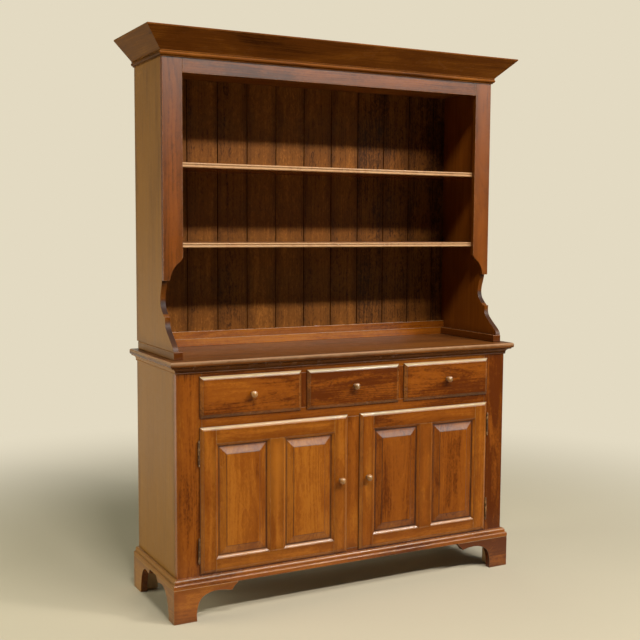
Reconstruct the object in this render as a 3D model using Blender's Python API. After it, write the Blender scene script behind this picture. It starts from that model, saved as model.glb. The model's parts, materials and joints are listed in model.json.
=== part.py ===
"""Buffet with an open hutch, modelled board by board at its real size.

X runs to the viewer's right, Y to the back and Z up. The origin lies on the floor, under the
middle of the whole piece. A cupboard base on bracket feet carries a counter, and a hutch with
scrolled sides, two shelves and a boarded back stands on the counter under a mitred crown.
Every board, moulding, door part, drawer part and hinge leaf is a closed solid of its own.
"""

import math

import bmesh
import bpy
from mathutils import Vector

# Clearances shared by all pieces
FIT_GAP = 0.0003
CUT_OVERRUN = 0.004
MERGE_DISTANCE = 0.000001

# Case of the base
CASE_WIDTH = 1.400
CASE_DEPTH = 0.4296
PANEL_THICKNESS = 0.019
BACK_THICKNESS = 0.006
BACK_REBATE_WIDTH = 0.010
BACK_REBATE_DEPTH = 0.007
BOTTOM_BOARD_DROP = 0.0006
BASE_SHELF_RISE = 0.250
BASE_SHELF_THICKNESS = 0.018

# Face frame of the base
FRAME_THICKNESS = 0.020
STILE_WIDTH = 0.0935
CENTRE_STILE_WIDTH = 0.070
DOOR_REVEAL = 0.0054
MIDDLE_EXPOSURE = 0.032
TOP_EXPOSURE = 0.0125
FRONT_SPACING = 0.0235

# Lipped doors and drawer fronts
FRONT_PROUD = 0.0112
FRONT_THICKNESS = 0.020
LIP = 0.009
EDGE_WIDTH = 0.0125
EDGE_DEPTH = 0.0075
EDGE_FILLET = 0.0010
EDGE_STEPS = 4
DOOR_HEIGHT = 0.5244
DOOR_LIP_STAND = 0.0018
DOOR_LOCK_CLEARANCE = 0.0030
DOOR_END_CLEARANCE = 0.0020
DOOR_STILE_WIDTH = 0.0585
DOOR_MUNTIN_WIDTH = 0.056
DOOR_TOP_RAIL = 0.0610
DOOR_BOTTOM_RAIL = 0.0498
STICKING_WIDTH = 0.0100
STICKING_DEPTH = 0.0080
PANEL_GROOVE_DEPTH = 0.0080
PANEL_GROOVE_SETBACK = 0.0090
PANEL_TONGUE = 0.0060
PANEL_EDGE_ROOM = 0.0004
PANEL_FIELD_INSET = 0.0415
PANEL_FIELD_SETBACK = 0.0012
PANEL_STEP = 0.0018
DRAWER_FRONT_HEIGHT = 0.1465

# Drawer boxes, the deck under them and their guides
RUNNING_GAP = 0.0015
DRAWER_SIDE = 0.012
DRAWER_BOTTOM = 0.006
DRAWER_BOTTOM_RISE = 0.010
DRAWER_HEADROOM = 0.010
DRAWER_LENGTH = 0.370
DRAWER_BACK_INSET = 0.006
DRAWER_BACK_DROP = 0.006
DECK_THICKNESS = 0.012
GUIDE_HEIGHT = 0.018
GUIDE_WIDTH = 0.025

# Counter, its cove and the base moulding
COUNTER_THICKNESS = 0.020
COUNTER_OVERHANG = 0.029
COUNTER_NOSING = 0.006
COUNTER_NOSING_STEPS = 3
COVE_HEIGHT = 0.0254
COVE_BEAD = 0.0030
COVE_BEAD_SEAT = 0.0020
COVE_RADIUS = 0.0155
COVE_CAP = 0.0015
BASE_MOULD_HEIGHT = 0.033
BASE_MOULD_PROJECTION = 0.0205
BASE_MOULD_BAND = 0.0170
BASE_MOULD_NOSE = 0.0050
BASE_MOULD_STEP = 0.0065
BASE_MOULD_CAP = 0.0090
MOULD_STEPS = 4

# Bracket feet
FOOT_HEIGHT = 0.1215
FOOT_PROUD = 0.0205
FOOT_THICKNESS = 0.026
FRONT_TOE = 0.0865
FRONT_WING = 0.2440
SIDE_TOE = 0.0550
SIDE_WING = 0.1880
BACK_TOE = 0.0810
BACK_WING = 0.1870
REAR_TOE = 0.0700
REAR_WING = 0.1300
FOOT_BLOCK = 0.045
FOOT_BLOCK_LIFT = 0.004
CURVE_STEPS = 3
FRONT_CURVE_SHARES = (
    (0.00, 0.00), (-0.01, 0.18), (0.01, 0.38), (0.05, 0.55), (0.13, 0.69),
    (0.29, 0.79), (0.46, 0.825), (0.66, 0.81), (0.84, 0.76),
)
FRONT_TIP_SHARES = ((0.91, 0.88), (0.98, 0.95), (1.00, 1.00))
SIDE_CURVE_SHARES = (
    (0.00, 0.00), (0.00, 0.15), (0.06, 0.39), (0.18, 0.67), (0.38, 0.84),
    (0.62, 0.875), (0.88, 0.83),
)
SIDE_TIP_SHARES = ((0.96, 0.90), (1.00, 1.00))
REAR_CURVE_SHARES = ((0.00, 0.00), (0.02, 0.35), (0.25, 0.72), (1.00, 0.86))
REAR_TIP_SHARES = ((1.00, 1.00),)

# Turned knobs
KNOB_DIAMETER = 0.0254
KNOB_LENGTH = 0.0275
KNOB_SEGMENTS = 20
DRAWER_KNOB_RISE = 0.0025
DOOR_KNOB_RISE = 0.0170
DOOR_KNOB_INSET = 0.0320
KNOB_PROFILE_SHARES = (
    (0.00, 0.00), (0.66, 0.00), (0.66, 0.06), (0.48, 0.15), (0.42, 0.27), (0.54, 0.38),
    (0.88, 0.47), (1.00, 0.58), (0.95, 0.72), (0.74, 0.87), (0.38, 0.97), (0.00, 1.00),
)

# Hinges with finial tipped pins
HINGE_RADIUS = 0.00375
HINGE_PIN_RADIUS = 0.0019
HINGE_LEAF = 0.0012
HINGE_SIDE_GAP = 0.0006
HINGE_AXIS_PROUD = 0.0060
HINGE_HEIGHT = 0.076
HINGE_FINIAL = 0.009
HINGE_SEGMENTS = 16
HINGE_LEG = 0.0150
HINGE_DOOR_LEG = 0.0080
HINGE_WEB = 0.0025
HINGE_UPPER_DROP = 0.0905
HINGE_LOWER_RISE = 0.0860
FINIAL_SHARES = ((0.95, 0.10), (0.62, 0.25), (0.88, 0.50), (0.62, 0.80), (0.00, 1.00))

# Hutch standing on the counter
HUTCH_DEPTH = 0.3103
HUTCH_SIDE_THICKNESS = 0.020
HUTCH_STILE_WIDTH = 0.0735
HUTCH_STILE_THICKNESS = 0.018
HUTCH_STILE_FOOT = 0.0240
HUTCH_STILE_SWEEP = 0.0805
HUTCH_BACK_THICKNESS = 0.0110
HUTCH_REBATE_DEPTH = 0.0120
SHOE_HEIGHT = 0.0287
SHOE_WIDTH = 0.036
SHOE_NOSE = 0.003
BACK_RAIL_HEIGHT = 0.0285
BACK_RAIL_THICKNESS = 0.0220
STILE_FOOT_RISE = 0.2705
LOWER_BAY = 0.4027
MIDDLE_BAY = 0.2831
UPPER_BAY = 0.3072
SHELF_THICKNESS = 0.018
SHELF_GROOVE = 0.0025
SHELF_ARRIS = 0.0020
TOP_BOARD_LAP = 0.0210
TOP_RAIL_EXPOSURE = 0.0510
BEAD_HEIGHT = 0.0210
BEAD_RADIUS = 0.0070
BEAD_SEAT = 0.0050
CROWN_HEIGHT = 0.0727
CROWN_FOOT = 0.0103
CROWN_PROJECTION = 0.0757
CROWN_THICKNESS = 0.0140
CROWN_EDGE = 0.0048
CARCASS_LAP = 0.045
BOARD_PITCH = 0.125
BOARD_VEE = 0.0022
SCROLL_REACH = 0.0940
SCROLL_STEPS = 3
SCROLL_UPPER_SHARES = (
    (-0.20, 1.000), (-0.26, 0.915), (-0.34, 0.825), (-0.39, 0.745), (-0.39, 0.680),
    (-0.33, 0.605), (-0.15, 0.530), (0.02, 0.475),
)
SCROLL_LOWER_SHARES = (
    (0.12, 0.475), (0.12, 0.380), (0.20, 0.305), (0.45, 0.215), (0.75, 0.125),
    (0.93, 0.060), (1.00, 0.000),
)
STILE_SWEEP_SHARES = (
    (0.00, 1.00), (0.19, 0.835), (0.46, 0.70), (0.66, 0.555), (0.83, 0.38), (0.93, 0.19),
    (1.00, 0.00),
)

# Colours of the finishes, with their roughness and metallic values
FRONT_CHERRY = ((0.262, 0.071, 0.012, 1.0), 0.32, 0.0)
SIDE_CHERRY = ((0.195, 0.076, 0.017, 1.0), 0.36, 0.0)
BACK_BOARDING = ((0.095, 0.030, 0.007, 1.0), 0.42, 0.0)
INNER_WOOD = ((0.300, 0.165, 0.070, 1.0), 0.60, 0.0)
HINGE_BRONZE = ((0.045, 0.032, 0.022, 1.0), 0.38, 0.9)

# Places that follow from the sizes above
HALF_WIDTH = CASE_WIDTH / 2
KNOB_TIP = FRONT_PROUD + FIT_GAP + KNOB_LENGTH
FRAME_Y = (KNOB_TIP - CASE_DEPTH) / 2
FRAME_BACK_Y = FRAME_Y + FRAME_THICKNESS
BACK_Y = FRAME_Y + CASE_DEPTH
BACK_PANEL_Y = BACK_Y - BACK_REBATE_DEPTH
FACE_Y = FRAME_Y - FRONT_PROUD
CASE_BOTTOM_Z = FOOT_HEIGHT + FIT_GAP
DOOR_BOTTOM_Z = CASE_BOTTOM_Z + BASE_MOULD_HEIGHT + DOOR_REVEAL
DOOR_TOP_Z = DOOR_BOTTOM_Z + DOOR_HEIGHT
DRAWER_BOTTOM_Z = DOOR_TOP_Z + MIDDLE_EXPOSURE
DRAWER_TOP_Z = DRAWER_BOTTOM_Z + DRAWER_FRONT_HEIGHT
COVE_BOTTOM_Z = DRAWER_TOP_Z + TOP_EXPOSURE
CASE_TOP_Z = COVE_BOTTOM_Z + COVE_HEIGHT
COUNTER_BOTTOM_Z = CASE_TOP_Z + FIT_GAP
COUNTER_Z = COUNTER_BOTTOM_Z + COUNTER_THICKNESS
OPENING_HALF = HALF_WIDTH - STILE_WIDTH
DOOR_OPENING_BOTTOM_Z = DOOR_BOTTOM_Z + LIP
DOOR_OPENING_TOP_Z = DOOR_TOP_Z - LIP
DRAWER_OPENING_BOTTOM_Z = DRAWER_BOTTOM_Z + LIP
DRAWER_OPENING_TOP_Z = DRAWER_TOP_Z - LIP
DOOR_OUTER_X = OPENING_HALF + LIP
DOOR_INNER_X = CENTRE_STILE_WIDTH / 2 - LIP
DOOR_WIDTH = DOOR_OUTER_X - DOOR_INNER_X
DOOR_X = (DOOR_OUTER_X + DOOR_INNER_X) / 2
DOOR_Z = (DOOR_BOTTOM_Z + DOOR_TOP_Z) / 2
DOOR_LIP_THICKNESS = FRONT_PROUD - DOOR_LIP_STAND
DOOR_HINGE_CLEARANCE = 3 * FIT_GAP + 2 * HINGE_LEAF
DRAWER_FRONT_WIDTH = (2 * DOOR_OUTER_X - 2 * FRONT_SPACING) / 3
DRAWER_PITCH = DRAWER_FRONT_WIDTH + FRONT_SPACING
DRAWER_OPENING_WIDTH = DRAWER_FRONT_WIDTH - 2 * LIP
DRAWER_Z = (DRAWER_BOTTOM_Z + DRAWER_TOP_Z) / 2
MUNTIN_WIDTH = DRAWER_PITCH - DRAWER_OPENING_WIDTH
HINGE_X = DOOR_OUTER_X + HINGE_SIDE_GAP + HINGE_RADIUS
HINGE_Y = FRAME_Y - HINGE_AXIS_PROUD
HUTCH_Y = BACK_Y - HUTCH_DEPTH
HUTCH_INNER_Y = HUTCH_Y + HUTCH_STILE_THICKNESS + FIT_GAP
HUTCH_BACK_Y = BACK_Y - HUTCH_REBATE_DEPTH
HUTCH_FOOT_Z = COUNTER_Z + FIT_GAP
SHOE_TOP_Z = HUTCH_FOOT_Z + SHOE_HEIGHT
HUTCH_SIDE_Z = SHOE_TOP_Z + FIT_GAP
STILE_FOOT_Z = COUNTER_Z + STILE_FOOT_RISE
LOWER_SHELF_Z = COUNTER_Z + LOWER_BAY
UPPER_SHELF_Z = LOWER_SHELF_Z + MIDDLE_BAY
TOP_RAIL_Z = UPPER_SHELF_Z + UPPER_BAY
TOP_BOARD_Z = TOP_RAIL_Z + TOP_BOARD_LAP
BEAD_Z = TOP_RAIL_Z + TOP_RAIL_EXPOSURE
CROWN_Z = BEAD_Z + BEAD_HEIGHT + FIT_GAP
CARCASS_TOP_Z = CROWN_Z + CARCASS_LAP
SCROLL_FRONT_Y = HUTCH_Y - SCROLL_REACH


def clear_objects():
    """Remove every object of the open scene."""
    for old in list(bpy.data.objects):
        bpy.data.objects.remove(old, do_unlink=True)


def finish(node, look):
    """Give a node its own Principled material."""
    colour, roughness, metallic = look
    material = bpy.data.materials.new(node.name + "_finish")
    material.use_nodes = True
    shader = material.node_tree.nodes["Principled BSDF"]
    shader.inputs["Base Color"].default_value = colour
    shader.inputs["Roughness"].default_value = roughness
    shader.inputs["Metallic"].default_value = metallic
    material.diffuse_color = colour
    node.data.materials.clear()
    node.data.materials.append(material)


def closed_mesh(name, vertices, faces):
    """Mesh with welded corners and faces that point out."""
    mesh = bpy.data.meshes.new(name)
    mesh.from_pydata(vertices, [], faces)
    work = bmesh.new()
    work.from_mesh(mesh)
    bmesh.ops.remove_doubles(work, verts=work.verts, dist=MERGE_DISTANCE)
    bmesh.ops.recalc_face_normals(work, faces=work.faces)
    work.to_mesh(mesh)
    work.free()
    return mesh


def place(name, mesh, location, parent=None):
    """Object of a mesh at a world location, carried by its parent where it has one."""
    node = bpy.data.objects.new(name, mesh)
    bpy.context.scene.collection.objects.link(node)
    node.location = Vector(location)
    if parent is not None:
        node.parent = parent
        node.location = Vector(location) - parent.location
    return node


def joint_empty(name, location):
    """Empty on a joint axis that carries a moving group."""
    empty = bpy.data.objects.new(name, None)
    bpy.context.scene.collection.objects.link(empty)
    empty.location = location
    return empty


def block_mesh(name, size):
    """Box mesh centred on its own origin."""
    half_x, half_y, half_z = (length / 2 for length in size)
    corners = [
        (x, y, z) for x in (-half_x, half_x) for y in (-half_y, half_y) for z in (-half_z, half_z)
    ]
    faces = [(0, 1, 3, 2), (4, 6, 7, 5), (0, 4, 5, 1), (2, 3, 7, 6), (0, 2, 6, 4), (1, 5, 7, 3)]
    return closed_mesh(name, corners, faces)


def board(name, x_span, y_span, z_span, look, parent=None):
    """Square edged board between two places along each axis."""
    spans = (x_span, y_span, z_span)
    size = [high - low for low, high in spans]
    centre = [(low + high) / 2 for low, high in spans]
    node = place(name, block_mesh(name, size), centre, parent)
    finish(node, look)
    return node


def soften(node, width, segments):
    """Take the sharp arris off every edge of a node."""
    bevel = node.modifiers.new("Arris", "BEVEL")
    bevel.width = width
    bevel.segments = segments
    bevel.limit_method = "ANGLE"
    return node


def loft_mesh(name, loops):
    """Skin over loops of the same count, with both ends capped."""
    count = len(loops[0])
    vertices = [point for loop in loops for point in loop]
    faces = [tuple(range(count)), tuple(range((len(loops) - 1) * count, len(loops) * count))]
    for row in range(len(loops) - 1):
        for place_on in range(count):
            after = (place_on + 1) % count
            low = row * count
            high = low + count
            faces.append((low + place_on, low + after, high + after, high + place_on))
    return closed_mesh(name, vertices, faces)


def prism_x(name, outline, start, end):
    """Outline of (y, z) points carried along X."""
    return loft_mesh(name, [[(x, y, z) for y, z in outline] for x in (start, end)])


def prism_y(name, outline, start, end):
    """Outline of (x, z) points carried along Y."""
    return loft_mesh(name, [[(x, y, z) for x, z in outline] for y in (start, end)])


def prism_z(name, outline, start, end):
    """Outline of (x, y) points carried along Z."""
    return loft_mesh(name, [[(x, y, z) for x, y in outline] for z in (start, end)])


def arc(centre, radius, start, end, steps):
    """Points of a circular arc, angles in degrees."""
    points = []
    for step in range(steps + 1):
        angle = math.radians(start + (end - start) * step / steps)
        points.append((centre[0] + radius * math.cos(angle), centre[1] + radius * math.sin(angle)))
    return points


def smooth_run(points, steps):
    """Catmull-Rom curve through the points, open at both ends."""
    padded = [points[0], *points, points[-1]]
    curve = []
    for first, second, third, fourth in zip(padded, padded[1:], padded[2:], padded[3:]):
        for step in range(steps):
            t = step / steps
            curve.append(tuple(
                (2 * b + (c - a) * t + (2 * a - 5 * b + 4 * c - d) * t ** 2
                 + (3 * b - a - 3 * c + d) * t ** 3) / 2
                for a, b, c, d in zip(first, second, third, fourth)
            ))
    return [*curve, points[-1]]


def shared_points(shares, start, reach, rise):
    """Points of a table of shares, from a start place over a reach and a rise."""
    return [(start[0] + along * reach, start[1] + up * rise) for along, up in shares]


def boolean(node, mesh, operation, location):
    """Cut or join a hidden guide solid, which moves with the node."""
    guide = place(node.name + "_guide", mesh, location)
    guide.hide_render = True
    guide.display_type = "WIRE"
    guide.parent = node.parent
    if node.parent is not None:
        guide.location = Vector(location) - node.parent.location
    change = node.modifiers.new(operation.title(), "BOOLEAN")
    change.operation = operation
    change.solver = "EXACT"
    change.object = guide
    return node


def mitred_moulding(name, profile, front_y, back_y, base_z, look):
    """Moulding round the front and both sides of the case, mitred at the front corners.

    The profile holds (projection, height) points, and both ends are cut square at the back.
    """
    rows = []
    for side, at_front in ((-1, False), (-1, True), (1, True), (1, False)):
        row = []
        for projection, height in profile:
            y = -projection if at_front else back_y - front_y
            row.append((side * (HALF_WIDTH + projection), y, height))
        rows.append(row)
    node = place(name, loft_mesh(name, rows), (0, front_y, base_z))
    finish(node, look)
    return node


def rectangle(half_width, half_height, depth):
    """Upright rectangular loop at a depth behind the face."""
    return [
        (-half_width, depth, -half_height), (half_width, depth, -half_height),
        (half_width, depth, half_height), (-half_width, depth, half_height),
    ]


def ovolo(width, depth, fillet, steps):
    """Quarter round with a fillet above it, as (inset, depth) from its outer edge."""
    points = [(width, 0), (width, fillet)]
    for step in range(1, steps + 1):
        turn = math.radians(90 * step / steps)
        points.append((width * (1 - math.sin(turn)), fillet + (depth - fillet) * (1 - math.cos(turn))))
    return points


def lipped_front_mesh(name, width, height, lip_thickness, left_step, right_step, end_step):
    """Front with a moulded edge, a lip over the frame and a tongue inside the opening."""
    loops = []
    for inset, depth in ovolo(EDGE_WIDTH, EDGE_DEPTH, EDGE_FILLET, EDGE_STEPS):
        loops.append(rectangle(width / 2 - inset, height / 2 - inset, depth))
    loops.append(rectangle(width / 2, height / 2, lip_thickness))
    for depth in (lip_thickness, FRONT_THICKNESS):
        low_x = left_step - width / 2
        high_x = width / 2 - right_step
        half_z = height / 2 - end_step
        loops.append([
            (low_x, depth, -half_z), (high_x, depth, -half_z),
            (high_x, depth, half_z), (low_x, depth, half_z),
        ])
    return loft_mesh(name, loops)


def turned_mesh(name, profile, segments, along_y):
    """Solid of revolution of (radius, reach) points that begin and end on the axis."""
    vertices = [(0, 0, profile[0][1])]
    for radius, reach in profile[1:-1]:
        for step in range(segments):
            angle = 2 * math.pi * step / segments
            vertices.append((radius * math.cos(angle), radius * math.sin(angle), reach))
    vertices.append((0, 0, profile[-1][1]))
    if along_y:
        vertices = [(x, -z, y) for x, y, z in vertices]
    last = len(vertices) - 1
    faces = []
    for step in range(segments):
        after = (step + 1) % segments
        faces.append((0, 1 + after, 1 + step))
        for row in range(len(profile) - 3):
            low = 1 + row * segments
            high = low + segments
            faces.append((low + step, low + after, high + after, high + step))
        top = last - segments
        faces.append((top + step, top + after, last))
    return closed_mesh(name, vertices, faces)


def shade_round(node):
    """Smooth shading on a turned piece, with its sharp shoulders kept."""
    node.data.shade_smooth()
    node.data.set_sharp_from_angle(angle=math.radians(40))


# Cupboard case


def build_case():
    """Side panels, boards, back and shelf of the cupboard."""
    inner_x = HALF_WIDTH - PANEL_THICKNESS
    for label, side in (("left", -1), ("right", 1)):
        outline = [
            (inner_x, FRAME_BACK_Y + FIT_GAP), (HALF_WIDTH, FRAME_BACK_Y + FIT_GAP),
            (HALF_WIDTH, BACK_Y), (inner_x + BACK_REBATE_WIDTH, BACK_Y),
            (inner_x + BACK_REBATE_WIDTH, BACK_PANEL_Y), (inner_x, BACK_PANEL_Y),
        ]
        name = "base_side_" + label
        local = [(side * (x - HALF_WIDTH), y - FRAME_BACK_Y) for x, y in outline]
        mesh = prism_z(name, local, 0, CASE_TOP_Z - CASE_BOTTOM_Z)
        node = place(name, mesh, (side * HALF_WIDTH, FRAME_BACK_Y, CASE_BOTTOM_Z))
        finish(node, SIDE_CHERRY)
    across = inner_x - FIT_GAP
    behind_frame = FRAME_BACK_Y + FIT_GAP
    board(
        "base_bottom", (-across, across), (behind_frame, BACK_PANEL_Y),
        (DOOR_OPENING_BOTTOM_Z - BOTTOM_BOARD_DROP - PANEL_THICKNESS,
         DOOR_OPENING_BOTTOM_Z - BOTTOM_BOARD_DROP), INNER_WOOD,
    )
    shelf_z = DOOR_OPENING_BOTTOM_Z + BASE_SHELF_RISE
    board(
        "base_shelf", (-across, across), (behind_frame, BACK_PANEL_Y),
        (shelf_z, shelf_z + BASE_SHELF_THICKNESS), INNER_WOOD,
    )
    back_half = inner_x + BACK_REBATE_WIDTH - FIT_GAP
    board(
        "base_back", (-back_half, back_half),
        (BACK_PANEL_Y + FIT_GAP, BACK_PANEL_Y + FIT_GAP + BACK_THICKNESS),
        (CASE_BOTTOM_Z, CASE_TOP_Z), INNER_WOOD,
    )


def build_deck():
    """Deck under the drawers, with a guide along each side of every drawer."""
    inner_x = HALF_WIDTH - PANEL_THICKNESS - FIT_GAP
    half_opening = DRAWER_OPENING_WIDTH / 2
    outer_edge = DRAWER_PITCH + half_opening
    guides = [(-outer_edge - GUIDE_WIDTH, -outer_edge)]
    for side in (-1, 1):
        centre = side * DRAWER_PITCH / 2
        guides.append((centre - MUNTIN_WIDTH / 2, centre + MUNTIN_WIDTH / 2))
    guides.append((outer_edge, outer_edge + GUIDE_WIDTH))
    outline = [(inner_x, 0), (-inner_x, 0), (-inner_x, DECK_THICKNESS)]
    for low, high in guides:
        outline += [
            (low, DECK_THICKNESS), (low, DECK_THICKNESS + GUIDE_HEIGHT),
            (high, DECK_THICKNESS + GUIDE_HEIGHT), (high, DECK_THICKNESS),
        ]
    outline.append((inner_x, DECK_THICKNESS))
    length = BACK_PANEL_Y - FRAME_BACK_Y - FIT_GAP
    mesh = prism_y("drawer_deck", outline, 0, length)
    node = place(
        "drawer_deck", mesh,
        (0, FRAME_BACK_Y + FIT_GAP, DRAWER_OPENING_BOTTOM_Z - DECK_THICKNESS),
    )
    finish(node, INNER_WOOD)


def build_face_frame():
    """Stiles, rails and muntins round the doors and drawers."""
    frame_y = (FRAME_Y, FRAME_BACK_Y)
    for label, side in (("left", -1), ("right", 1)):
        span = sorted((side * OPENING_HALF, side * HALF_WIDTH))
        board("frame_stile_" + label, span, frame_y, (CASE_BOTTOM_Z, CASE_TOP_Z), FRONT_CHERRY)
        muntin_x = side * DRAWER_PITCH / 2
        board(
            "drawer_muntin_" + label,
            (muntin_x - MUNTIN_WIDTH / 2, muntin_x + MUNTIN_WIDTH / 2), frame_y,
            (DRAWER_OPENING_BOTTOM_Z + FIT_GAP, DRAWER_OPENING_TOP_Z - FIT_GAP), FRONT_CHERRY,
        )
    between = (FIT_GAP - OPENING_HALF, OPENING_HALF - FIT_GAP)
    rails = (
        ("frame_top_rail", DRAWER_OPENING_TOP_Z, CASE_TOP_Z),
        ("frame_middle_rail", DOOR_OPENING_TOP_Z, DRAWER_OPENING_BOTTOM_Z),
        ("frame_bottom_rail", CASE_BOTTOM_Z, DOOR_OPENING_BOTTOM_Z),
    )
    for name, low, high in rails:
        board(name, between, frame_y, (low, high), FRONT_CHERRY)
    board(
        "frame_centre_stile", (-CENTRE_STILE_WIDTH / 2, CENTRE_STILE_WIDTH / 2), frame_y,
        (DOOR_OPENING_BOTTOM_Z + FIT_GAP, DOOR_OPENING_TOP_Z - FIT_GAP), FRONT_CHERRY,
    )


def build_counter():
    """Counter board with its rounded nosing, and the cove and base mouldings."""
    reach = HALF_WIDTH + COUNTER_OVERHANG
    loops = []
    radius = COUNTER_NOSING
    low_arc = arc((0, radius), radius, -90, 0, COUNTER_NOSING_STEPS)
    high_arc = arc((0, COUNTER_THICKNESS - radius), radius, 0, 90, COUNTER_NOSING_STEPS)
    for out, height in low_arc + high_arc:
        edge = reach - radius + out
        front = FRAME_Y - COUNTER_OVERHANG + radius - out
        loops.append([
            (-edge, front, height), (edge, front, height),
            (edge, BACK_Y, height), (-edge, BACK_Y, height),
        ])
    node = place("base_top", loft_mesh("base_top", loops), (0, 0, COUNTER_BOTTOM_Z))
    finish(node, FRONT_CHERRY)

    cove_start = COVE_BEAD_SEAT + COVE_BEAD
    cove_base = 2 * COVE_BEAD
    cove_top = cove_base + COVE_RADIUS
    cove = [
        (FIT_GAP, 0),
        *arc((COVE_BEAD_SEAT, COVE_BEAD), COVE_BEAD, -90, 60, MOULD_STEPS),
        *arc((cove_start + COVE_RADIUS, cove_base), COVE_RADIUS, 180, 90, MOULD_STEPS),
        (cove_start + COVE_RADIUS + COVE_CAP, cove_top),
        (cove_start + COVE_RADIUS + COVE_CAP, COVE_HEIGHT), (FIT_GAP, COVE_HEIGHT),
    ]
    mitred_moulding("top_cove", cove, FRAME_Y, BACK_Y, COVE_BOTTOM_Z, FRONT_CHERRY)

    nose_x = BASE_MOULD_PROJECTION - BASE_MOULD_NOSE
    step_x = BASE_MOULD_PROJECTION - BASE_MOULD_STEP
    low_arc = arc((nose_x, BASE_MOULD_BAND - BASE_MOULD_NOSE), BASE_MOULD_NOSE, 0, 90, MOULD_STEPS)
    cap_centre = (step_x - BASE_MOULD_CAP, BASE_MOULD_HEIGHT - BASE_MOULD_CAP)
    skirting = [
        (FIT_GAP, 0), (BASE_MOULD_PROJECTION, 0), *low_arc, (step_x, BASE_MOULD_BAND),
        *arc(cap_centre, BASE_MOULD_CAP, 0, 90, MOULD_STEPS), (FIT_GAP, BASE_MOULD_HEIGHT),
    ]
    mitred_moulding("base_moulding", skirting, FRAME_Y, BACK_Y, CASE_BOTTOM_Z, FRONT_CHERRY)


# Bracket feet


def bracket_outline(toe, wing, curve_shares, tip_shares):
    """Bracket seen from its face, with its corner at zero and its wing running out."""
    start = (toe, 0)
    curve = smooth_run(shared_points(curve_shares, start, wing - toe, FOOT_HEIGHT), CURVE_STEPS)
    tip = shared_points(tip_shares, start, wing - toe, FOOT_HEIGHT)
    return [(0, 0), *curve, *tip, (0, FOOT_HEIGHT)]


def foot_mesh(name, along_x, along_y, side_x, side_y):
    """Two bracket boards mitred at the corner into one closed foot."""
    vertices = []
    faces = []
    for outline, turn in ((along_x, False), (along_y, True)):
        count = len(outline)
        first = len(vertices)
        for inside in (False, True):
            for out, height in outline:
                run = max(out, FOOT_THICKNESS) if inside else out
                depth = FOOT_THICKNESS if inside else 0
                x, y = (depth, run) if turn else (run, depth)
                vertices.append((side_x * x, side_y * y, height))
        faces.append(tuple(range(first, first + count)))
        faces.append(tuple(range(first + count, first + 2 * count)))
        for place_on in range(count - 1):
            low = first + place_on
            faces.append((low, low + 1, low + 1 + count, low + count))
    return closed_mesh(name, vertices, faces)


def build_feet():
    """Four bracket feet, each with the glue block that carries the case."""
    front = bracket_outline(FRONT_TOE, FRONT_WING, FRONT_CURVE_SHARES, FRONT_TIP_SHARES)
    side_front = bracket_outline(SIDE_TOE, SIDE_WING, SIDE_CURVE_SHARES, SIDE_TIP_SHARES)
    side_back = bracket_outline(BACK_TOE, BACK_WING, SIDE_CURVE_SHARES, SIDE_TIP_SHARES)
    rear = bracket_outline(REAR_TOE, REAR_WING, REAR_CURVE_SHARES, REAR_TIP_SHARES)
    places = (
        ("front", FRAME_Y - FOOT_PROUD, 1, front, side_front),
        ("back", BACK_Y, -1, rear, side_back),
    )
    block_size = FOOT_BLOCK + CUT_OVERRUN
    for row, corner_y, side_y, along_x, along_y in places:
        for label, side in (("left", -1), ("right", 1)):
            name = "foot_" + row + "_" + label
            corner = Vector((side * (HALF_WIDTH + FOOT_PROUD), corner_y, 0))
            node = place(name, foot_mesh(name, along_x, along_y, -side, side_y), corner)
            finish(node, FRONT_CHERRY)
            middle = FOOT_THICKNESS - CUT_OVERRUN + block_size / 2
            block = block_mesh(name, (block_size, block_size, FOOT_HEIGHT - FOOT_BLOCK_LIFT))
            centre = corner + Vector((
                -side * middle, side_y * middle, (FOOT_HEIGHT + FOOT_BLOCK_LIFT) / 2,
            ))
            boolean(node, block, "UNION", centre)


# Doors, drawers and knobs


def knob(name, location, parent):
    """Turned wooden knob whose foot stands on a front."""
    profile = [
        (radius * KNOB_DIAMETER / 2, reach * KNOB_LENGTH) for radius, reach in KNOB_PROFILE_SHARES
    ]
    mesh = turned_mesh(name, profile, KNOB_SEGMENTS, True)
    node = place(name, mesh, location, parent)
    finish(node, FRONT_CHERRY)
    shade_round(node)


def opening_mesh(name, width, height):
    """Cutter of a door opening, with its sticking and the groove that holds the panel."""
    sight_x = width / 2 - STICKING_WIDTH
    sight_z = height / 2 - STICKING_WIDTH
    loops = [rectangle(width / 2, height / 2, -CUT_OVERRUN)]
    for inset, depth in ovolo(STICKING_WIDTH, STICKING_DEPTH, EDGE_FILLET, EDGE_STEPS)[1:]:
        loops.append(rectangle(sight_x + inset, sight_z + inset, depth))
    groove_end = PANEL_GROOVE_SETBACK + PANEL_TONGUE + 2 * FIT_GAP
    steps = (
        (0, PANEL_GROOVE_SETBACK), (PANEL_GROOVE_DEPTH, PANEL_GROOVE_SETBACK),
        (PANEL_GROOVE_DEPTH, groove_end), (0, groove_end), (0, FRONT_THICKNESS + CUT_OVERRUN),
    )
    for out, depth in steps:
        loops.append(rectangle(sight_x + out, sight_z + out, depth))
    return loft_mesh(name, loops)


def raised_panel_mesh(name, width, height):
    """Raised panel with a fielded centre, a sloped margin and a tongue for the groove."""
    tongue = PANEL_GROOVE_DEPTH - STICKING_WIDTH - PANEL_EDGE_ROOM
    shoulder = -STICKING_WIDTH - PANEL_EDGE_ROOM
    front = PANEL_GROOVE_SETBACK + FIT_GAP
    back = front + PANEL_TONGUE
    steps = (
        (-PANEL_FIELD_INSET, PANEL_FIELD_SETBACK),
        (-PANEL_FIELD_INSET, PANEL_FIELD_SETBACK + PANEL_STEP),
        (shoulder, front), (tongue, front), (tongue, back),
    )
    loops = [rectangle(width / 2 + out, height / 2 + out, depth) for out, depth in steps]
    return loft_mesh(name, loops)


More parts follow.
